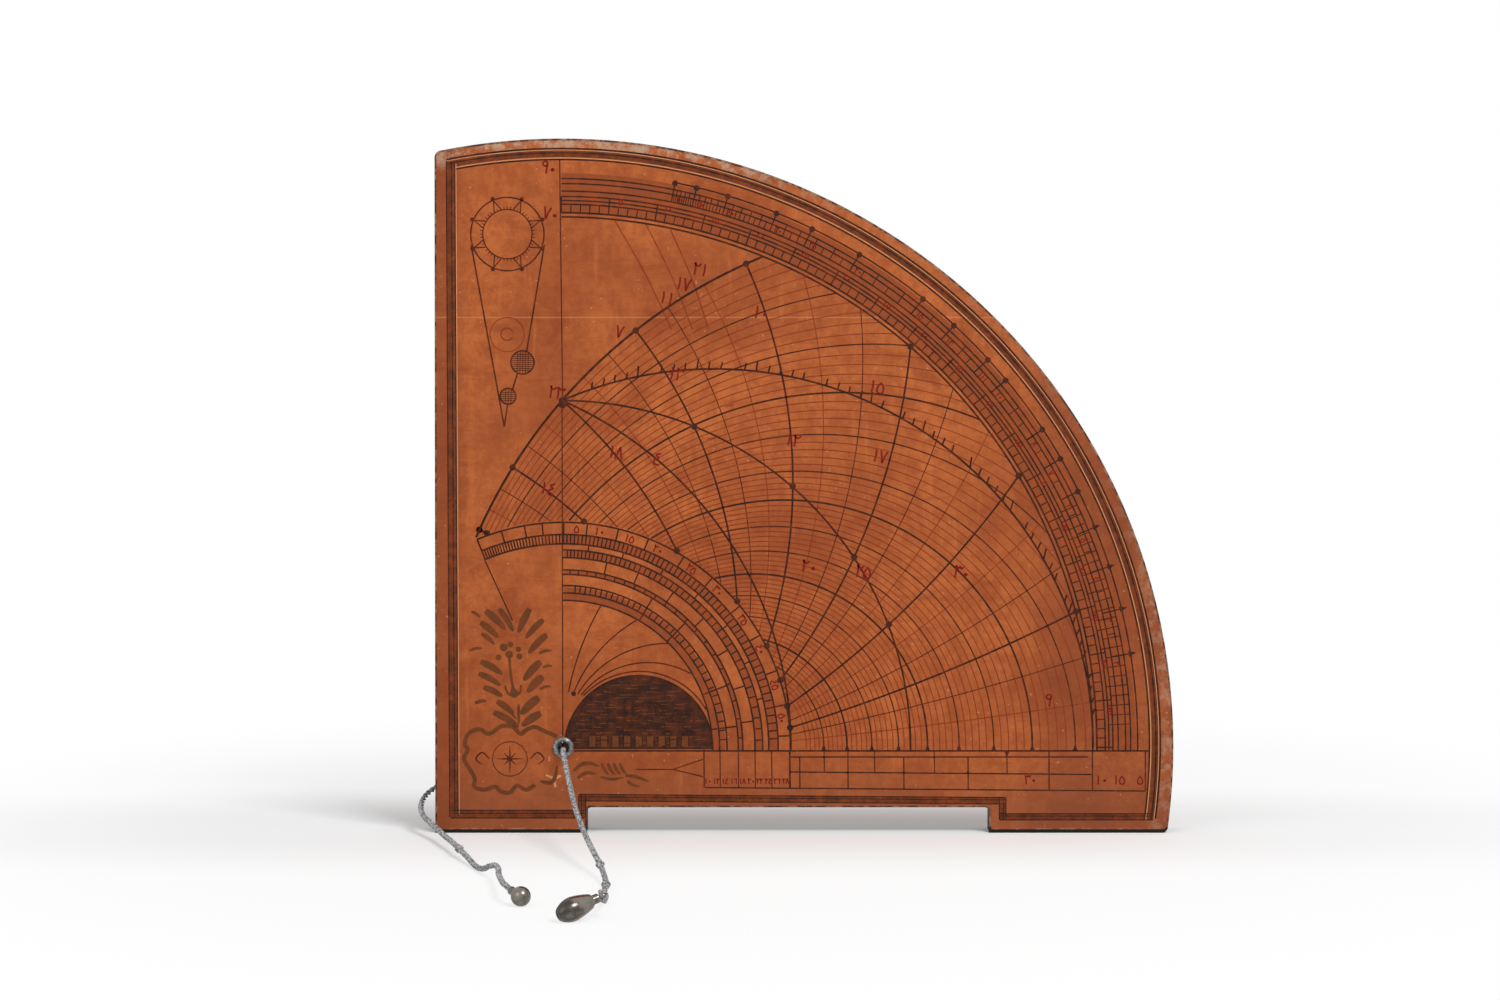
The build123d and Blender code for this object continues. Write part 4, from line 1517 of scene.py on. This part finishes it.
@dataclass(frozen=True)
class FacingFinish:
    """Old varnish over painted paper, mottled and worn pale along the rim."""

    name: str
    rim_x: float
    rim_z: float
    rim_radius: float = 0.19
    rim_reach: float = 0.0075
    joint_z: float = 0.1607
    under: Colour = srgb(148, 73, 33)
    bare: Colour = srgb(178, 148, 122)
    joint: Colour = srgb(206, 132, 84)
    broad: Cloud = Cloud(16, 0.3, 0.7, 1.0, srgb(188, 102, 50), rough=0.62)
    fine: Cloud = Cloud(240, 0.3, 0.7, 1.0, srgb(136, 62, 26), detail=6, rough=0.75)
    fine_strength: float = 0.55
    grain: Cloud = Cloud(60, 0.55, 0.75, 0.45, srgb(192, 106, 52), 4, 0.6, 0.3, (5.0, 1.0, 0.5))
    stain: Cloud = Cloud(38, 0.5, 0.7, 0.55, srgb(126, 54, 22), detail=6, warp=0.4)
    fibre: Cloud = Cloud(90, 0.52, 0.72, 0.4, srgb(134, 60, 26), warp=0.2, stretch=(0.6, 1.0, 7.0))
    low: Fade = Fade(2, 0.004, 0.027, 0.6, 0.0, srgb(134, 74, 46))
    left: Fade = Fade(0, -0.112, -0.102, 0.6, 0.0, srgb(124, 56, 26))
    right: Fade = Fade(0, 0.062, 0.082, 0.0, 0.45, srgb(118, 56, 30))
    upper_rim: Fade = Fade(0, -0.035, 0.03, 0.9, 0.12)
    lower_rim: Fade = Fade(2, 0.06, 0.12, 0.5, 0.0)
    foot: Fade = Fade(2, 0.0009, 0.0019, 0.95, 0.0)
    rubbing: Cloud = Cloud(230, 0.45, 0.62, 1.0, detail=7, rough=0.8)
    spots: Cloud = Cloud(700, 0.70, 0.76, 0.5, srgb(205, 140, 95), detail=2, rough=0.5)

    def wear(self, shader: Shader) -> bpy.types.NodeSocket:
        """Gives how much is rubbed bare along the rim and the feet."""
        x, _, z = shader.axes()
        across = shader.math("POWER", shader.math("SUBTRACT", x, self.rim_x), 2)
        up = shader.math("POWER", shader.math("SUBTRACT", z, self.rim_z), 2)
        reach = shader.math("SQRT", shader.math("ADD", across, up))
        near_rim = shader.step(reach, self.rim_radius - self.rim_reach, self.rim_radius - 0.001)
        along = shader.math("MAXIMUM", self.upper_rim.share(shader), self.lower_rim.share(shader))
        worn = shader.math("MAXIMUM", shader.math("MULTIPLY", near_rim, along), self.foot.share(shader))
        return shader.math("MULTIPLY", worn, self.rubbing.share(shader))

    def material(self) -> bpy.types.Material:
        """Gives the facing's material."""
        shader = Shader(self.name)
        fine = self.fine.share(shader)
        colour = shader.mix(self.broad.share(shader), self.under, self.broad.colour)
        colour = shader.mix(shader.step(fine, 0.0, 1.0, 0.0, self.fine_strength), colour, self.fine.colour)
        for layer in (self.grain, self.stain, self.fibre, self.low, self.left, self.right):
            colour = shader.mix(layer.share(shader), colour, layer.colour)
        from_joint = shader.math("ABSOLUTE", shader.math("SUBTRACT", shader.axes()[2], self.joint_z))
        colour = shader.mix(shader.step(from_joint, 0.0001, 0.0003, 0.4, 0.0), colour, self.joint)
        colour = shader.mix(self.wear(shader), colour, self.bare)
        colour = shader.mix(self.spots.share(shader), colour, self.spots.colour)
        bump = shader.bump(fine, 0.25, 0.0001, shader.bump(self.grain.noise(shader), 0.2, 0.0001))
        roughness = shader.step(fine, 0.0, 1.0, 0.46, 0.62)
        return shader.finish(colour, roughness, bump, Specular_IOR_Level=0.18)


@dataclass(frozen=True)
class PlainFinish:
    """A finish of two colours in patches, with fine relief: painted wood, metal or thread."""

    name: str
    dark: Colour
    pale: Colour
    scale: float
    rough: float
    metal: float = 0.0
    worn_from: float = 0.45

    def material(self) -> bpy.types.Material:
        """Gives the finish's material."""
        shader = Shader(self.name)
        patches = shader.step(shader.noise(self.scale, 5, 0.65), self.worn_from, self.worn_from + 0.22)
        fine = shader.noise(self.scale * 6, 4, 0.6)
        colour = shader.mix(patches, self.dark, self.pale)
        colour = shader.mix(shader.step(fine, 0.3, 0.8, 0.0, 0.35), colour, self.dark)
        roughness = shader.step(fine, 0.2, 0.8, self.rough - 0.08, self.rough + 0.1)
        return shader.finish(colour, roughness, shader.bump(fine, 0.3, 0.00005), Metallic=self.metal)


EYELET = PlainFinish("eyelet_grey", srgb(104, 104, 106), srgb(176, 177, 180), 900, 0.42, 0.5)
SILVER = PlainFinish("old_silver", srgb(76, 70, 65), srgb(134, 127, 120), 170, 0.22, 0.95, 0.38)
THREAD = PlainFinish("grey_thread", srgb(98, 99, 100), srgb(192, 193, 194), 1300, 0.9, 0.0, 0.4)


@dataclass(frozen=True)
class EdgeFinish:
    """The board's painted edges: black on the feet, where the black also serves as painted contact shade at
    the floor, brown and rubbed pale above them.
    """

    foot_height: float = 0.0016
    foot_blend: float = 0.0008
    arris_from: float = 0.0047
    arris_to: float = 0.0057
    # Black paint on the lowest 1.6 mm of every edge, darker than the edge paint above it; it is also painted
    # contact shade along the bottoms of the feet.
    foot_paint: Colour = srgb(24, 15, 11)
    dark: Colour = srgb(46, 25, 17)
    bare: Colour = srgb(172, 128, 98)
    streaks: Cloud = Cloud(120, 0.3, 0.7, 1.0, srgb(82, 44, 27))
    rubbing: Cloud = Cloud(330, 0.42, 0.62, 1.0, detail=6, rough=0.75)

    def material(self) -> bpy.types.Material:
        """Gives the edges' material."""
        shader = Shader("board_edges")
        _, y, z = shader.axes()
        # Below this height the edges take the black paint that also stands in for the painted contact shade.
        above = shader.step(z, self.foot_height, self.foot_height + self.foot_blend)
        arris = shader.step(shader.math("ABSOLUTE", y), self.arris_from, self.arris_to, 0.15, 0.85)
        paint = shader.mix(self.streaks.share(shader), self.dark, self.streaks.colour)
        worn = shader.math("MULTIPLY", arris, self.rubbing.share(shader))
        colour = shader.mix(above, self.foot_paint, shader.mix(worn, paint, self.bare))
        bump = shader.bump(shader.noise(600, 4, 0.6), 0.3, 0.0001)
        return shader.finish(colour, 0.6, bump, Specular_IOR_Level=0.2)


# Thread and weights


@dataclass(frozen=True)
class Thread:
    """A two-ply thread along a route given in metres from the apex."""

    name: str
    body: str
    route: tuple[Place, ...]
    replaced: tuple[str, ...]
    carried: tuple[str, ...]
    knots: tuple[Place, ...]
    radius: float = 0.0009
    ply_turn: float = 0.0034
    steps_in_turn: int = 12
    knot_swell: float = 0.62
    knot_reach: float = 0.0022
    corners: int = 8

    def centreline(self) -> list[Vector]:
        """Reads evenly spaced points from the route's spline."""
        curve = bpy.data.curves.new(self.name + "_route", "CURVE")
        curve.dimensions = "3D"
        curve.resolution_u = 48
        spline = curve.splines.new("NURBS")
        spline.points.add(len(self.route) - 1)
        for point, place in zip(spline.points, self.route):
            point.co = (*place, 1.0)
        spline.order_u = 3
        spline.use_endpoint_u = True
        guide = bpy.data.objects.new(self.name + "_route", curve)
        bpy.context.collection.objects.link(guide)
        bpy.context.view_layer.update()
        mesh = bpy.data.meshes.new_from_object(guide)
        points = [vertex.co.copy() for vertex in mesh.vertices]
        bpy.data.objects.remove(guide)
        spaced = [points[0]]
        for point in points[1:-1]:
            if (point - spaced[-1]).length > self.ply_turn / self.steps_in_turn:
                spaced.append(point)
        return [*spaced, points[-1]]

    def ring(
        self, mould: bmesh.types.BMesh, here: Vector, side: Vector, other: Vector, turn: float
    ) -> list[bmesh.types.BMVert]:
        """Makes one ply's ring of corners, larger near a knot.

        Args:
            mould: The mesh that the corners go into.
            here: The thread's middle.
            side: A direction across the thread.
            other: The direction across both the thread and the side.
            turn: How far the ply has turned round the middle, in radians.

        Returns:
            The corners.
        """
        near = min((here - Vector(knot)).length for knot in self.knots)
        swell = 1.0 + self.knot_swell * max(0.0, 1 - near / self.knot_reach)
        reach = self.radius * 0.5 * swell
        centre = here + (side * math.cos(turn) + other * math.sin(turn)) * reach
        angles = [2 * math.pi * corner / self.corners for corner in range(self.corners)]
        return [mould.verts.new(centre + (side * math.cos(a) + other * math.sin(a)) * reach) for a in angles]

    def build(self) -> None:
        """Twists two plies along the route, with a swelling at each knot."""
        line = self.centreline()
        mould = bmesh.new()
        for ply in range(2):
            rings = []
            travelled = 0.0
            side = Vector((1, 0, 0))
            for i, here in enumerate(line):
                along = (line[min(i + 1, len(line) - 1)] - line[max(i - 1, 0)]).normalized()
                travelled += (here - line[i - 1]).length if i else 0.0
                side = (side - along * side.dot(along)).normalized()
                turn = 2 * math.pi * travelled / self.ply_turn + math.pi * ply
                rings.append(self.ring(mould, here, side, along.cross(side), turn))
            for first, second in zip(rings, rings[1:]):
                for c in range(self.corners):
                    d = (c + 1) % self.corners
                    mould.faces.new((first[c], first[d], second[d], second[c]))
            mould.faces.new(rings[0][::-1])
            mould.faces.new(rings[-1])
        mesh = bpy.data.meshes.new(self.name)
        mould.to_mesh(mesh)
        mould.free()
        mesh.shade_smooth()
        mesh.materials.append(THREAD.material())
        piece = bpy.data.objects.new(self.name, mesh)
        bpy.context.collection.objects.link(piece)
        settle(piece, self.name, self.body)
        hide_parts(*self.replaced)
        length = sum((b - a).length for a, b in zip(line, line[1:]))
        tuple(self.route[0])
        [tuple(point) for point in line]
        [bpy.data.objects[name] for name in self.carried]


def from_apex(place: BoardPlace, points: tuple[Place, ...]) -> tuple[Place, ...]:
    """Turns route points in millimetres from the apex's upright into metres in the frame."""
    return tuple((place.apex_x + x * MM, y * MM, z * MM) for x, y, z in points)


FRONT_ROUTE: tuple[Place, ...] = (
    (0.05, -9.1, 26.05), (0.7, -14.5, 24.4), (2.0, -23.5, 21.1), (3.5, -34.5, 17.5), (5.3, -47.5, 13.8),
    (8.2, -63.0, 9.8), (11.2, -77.5, 6.5), (14.4, -91.5, 3.8), (16.2, -105.0, 1.9), (16.8, -113.5, 1.45),
    (16.4, -123.0, 1.1), (16.9, -133.0, 1.45), (16.9, -142.5, 1.55), (17.05, -155.5, 4.6),
)
BACK_ROUTE: tuple[Place, ...] = (
    (-0.8, 8.7, 26.1), (-3.2, 10.6, 25.8), (-8.8, 12.0, 24.5), (-17.5, 12.2, 21.6), (-27.0, 11.5, 17.8),
    (-35.8, 10.4, 14.4), (-41.6, 8.2, 12.0), (-44.5, 3.8, 9.5), (-44.9, -1.8, 7.2), (-43.6, -7.6, 5.7),
    (-41.2, -14.2, 4.7), (-38.0, -23.0, 3.8), (-35.2, -33.5, 3.3), (-32.0, -44.5, 3.1), (-29.4, -55.1, 2.9),
    (-25.6, -67.8, 1.75), (-23.8, -74.8, 1.15), (-21.9, -81.0, 1.0), (-20.0, -86.4, 1.7),
    (-18.2, -90.6, 3.3), (-16.1, -94.6, 4.2), (-14.9, -100.4, 4.0), (-14.6, -108.4, 3.8),
    (-13.2, -118.2, 3.6), (-12.2, -127.0, 4.1), (-11.4, -133.6, 4.9), (-8.9, -139.4, 3.9),
)


# Studio


@dataclass(frozen=True)
class Studio:
    """The pale floor, the lamps and the camera, in metres."""

    aim: Place = (-0.01686, -0.006, 0.10413)
    eye: Place = (-0.01686, -1.40168, 0.21398)
    lens: float = 108.43
    shade_reach: float = 0.16
    shade_end: float = 0.34
    lift: float = 0.75
    sky_light: float = 0.5
    floor_size: float = 12.0
    lamps: tuple[tuple[str, Place, float, float], ...] = (
        ("key", (0.75, -1.1, 1.5), 0.7, 22.0), ("fill", (-1.2, -1.4, 1.0), 1.2, 5.0),
    )

    def floor_material(self) -> bpy.types.Material:
        """Gives the white floor, which keeps shadows near the object and is plain white beyond.

        Returns:
            The floor's material.
        """
        shader = Shader("white_floor")
        shader.finish((0.93, 0.93, 0.93), 0.9, Specular_IOR_Level=0.0)
        reach = shader.node("VectorMath", operation="LENGTH")
        shader.join(shader.place, reach.inputs[0])
        beside = shader.math("ABSOLUTE", shader.axes()[1])
        near = shader.step(beside, 0.015, 0.1, 0.1, self.lift)
        far = shader.step(reach.outputs["Value"], self.shade_reach, self.shade_end, near, 1.0)
        rays = shader.node("LightPath")
        seen = shader.math("MAXIMUM", rays.outputs["Is Camera Ray"], rays.outputs["Is Glossy Ray"])
        white = shader.node("Emission")
        blend = shader.node("MixShader")
        shader.join(shader.math("MULTIPLY", far, seen), blend.inputs[0])
        shader.join(shader.surface.outputs[0], blend.inputs[1])
        shader.join(white.outputs[0], blend.inputs[2])
        shader.join(blend.outputs[0], shader.tree.nodes["Material Output"].inputs[0])
        return shader.material

    def build_sky(self) -> None:
        """Makes the sky white to the camera and dimmer as a light."""
        scene = bpy.context.scene
        scene.world = scene.world or bpy.data.worlds.new("sky")
        scene.world.use_nodes = True
        nodes, links = scene.world.node_tree.nodes, scene.world.node_tree.links
        rays = nodes.new("ShaderNodeLightPath")
        seen = nodes.new("ShaderNodeMath")
        seen.operation = "MAXIMUM"
        links.new(rays.outputs["Is Camera Ray"], seen.inputs[0])
        links.new(rays.outputs["Is Glossy Ray"], seen.inputs[1])
        level = nodes.new("ShaderNodeMapRange")
        level.inputs["To Min"].default_value = self.sky_light
        level.inputs["To Max"].default_value = 1.0
        links.new(seen.outputs[0], level.inputs["Value"])
        links.new(level.outputs[0], nodes["Background"].inputs["Strength"])
        nodes["Background"].inputs["Color"].default_value = (1, 1, 1, 1)

    def point_at_object(self, name: str, data: bpy.types.ID, place: Place) -> bpy.types.Object:
        """Places a lamp or a camera and turns it toward the object.

        Args:
            name: Its name.
            data: The lamp or the camera.
            place: Where it stands.

        Returns:
            The placed lamp or camera.
        """
        holder = bpy.data.objects.new(name, data)
        holder.location = place
        holder.rotation_euler = (Vector(self.aim) - Vector(place)).to_track_quat("-Z", "Y").to_euler()
        bpy.context.scene.collection.objects.link(holder)
        return holder

    def build(self) -> None:
        """Builds the floor, the sky, the lamps and the camera."""
        bpy.ops.mesh.primitive_plane_add(size=self.floor_size)
        floor = bpy.context.active_object
        floor.name = "floor"
        floor.data.materials.append(self.floor_material())
        self.build_sky()
        for name, place, size, power in self.lamps:
            lamp = bpy.data.lights.new(name, "AREA")
            lamp.size = size
            lamp.energy = power
            self.point_at_object(name, lamp, place)
        camera = bpy.data.cameras.new("camera")
        camera.lens = self.lens
        scene = bpy.context.scene
        scene.camera = self.point_at_object("camera", camera, self.eye)
        scene.view_settings.view_transform = "Standard"


def dress(nodes: tuple[str, ...], material: bpy.types.Material) -> None:
    """Gives nodes of the frame one finish.

    Args:
        nodes: The nodes' names.
        material: The finish.
    """
    for name in nodes:
        slots = bpy.data.objects[name].data.materials
        slots.clear()
        slots.append(material)


def main() -> None:
    """Builds the quadrant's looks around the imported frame."""
    logging.basicConfig(level=logging.INFO)
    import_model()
    bpy.ops.object.select_all(action="DESELECT")
    place = BoardPlace.from_frame()
    dress(("core_lower_board", "core_upper_board"), EdgeFinish().material())
    dress(("eyelet_barrel", "eyelet_washer"), EYELET.material())
    for node in ("front_facing", "back_facing"):
        varnish = FacingFinish(node + "_varnish", place.apex_x, place.apex_z + MM * BASELINE)
        dress((node,), varnish.material())
    plummet = tuple("plummet_" + part for part in ("ring", "collar", "front_shell", "back_shell", "core"))
    ball = ("ball_collar", "ball_weight")
    dress((*plummet, *ball), SILVER.material())
    dress(("line_in_eyelet", "plumb_line_loop"), THREAD.material())
    front, back = from_apex(place, FRONT_ROUTE), from_apex(place, BACK_ROUTE)
    front_nodes = ("plumb_line_upper", "plumb_line_knot", "plumb_line_lower")
    back_nodes = ("back_line_upper", "back_line_knot", "back_line_lower")
    hung = ("plumb_line_loop", *plummet)
    Thread("front_thread", "plumb_line", front, front_nodes, hung, front[7:12:2]).build()
    Thread("back_thread", "back_line", back, back_nodes, ball, (back[14],)).build()
    sheet = Sheet(place, Side.FRONT)
    for group in (
        BorderBand(), LimbScale(), SkyNet(), InnerScales(), HourArcs(), Roundel(), LowerTable(),
        EclipseDiagram(), FloralSpray(), Cartouche(), NetNumbers(),
    ):
        group.draw(sheet)
    sheet.mount()
    reverse = Sheet(place, Side.BACK)
    BorderBand().draw(reverse)
    SineQuadrant().draw(reverse)
    reverse.mount()
    Studio().build()


if __name__ == "__main__":
    main()
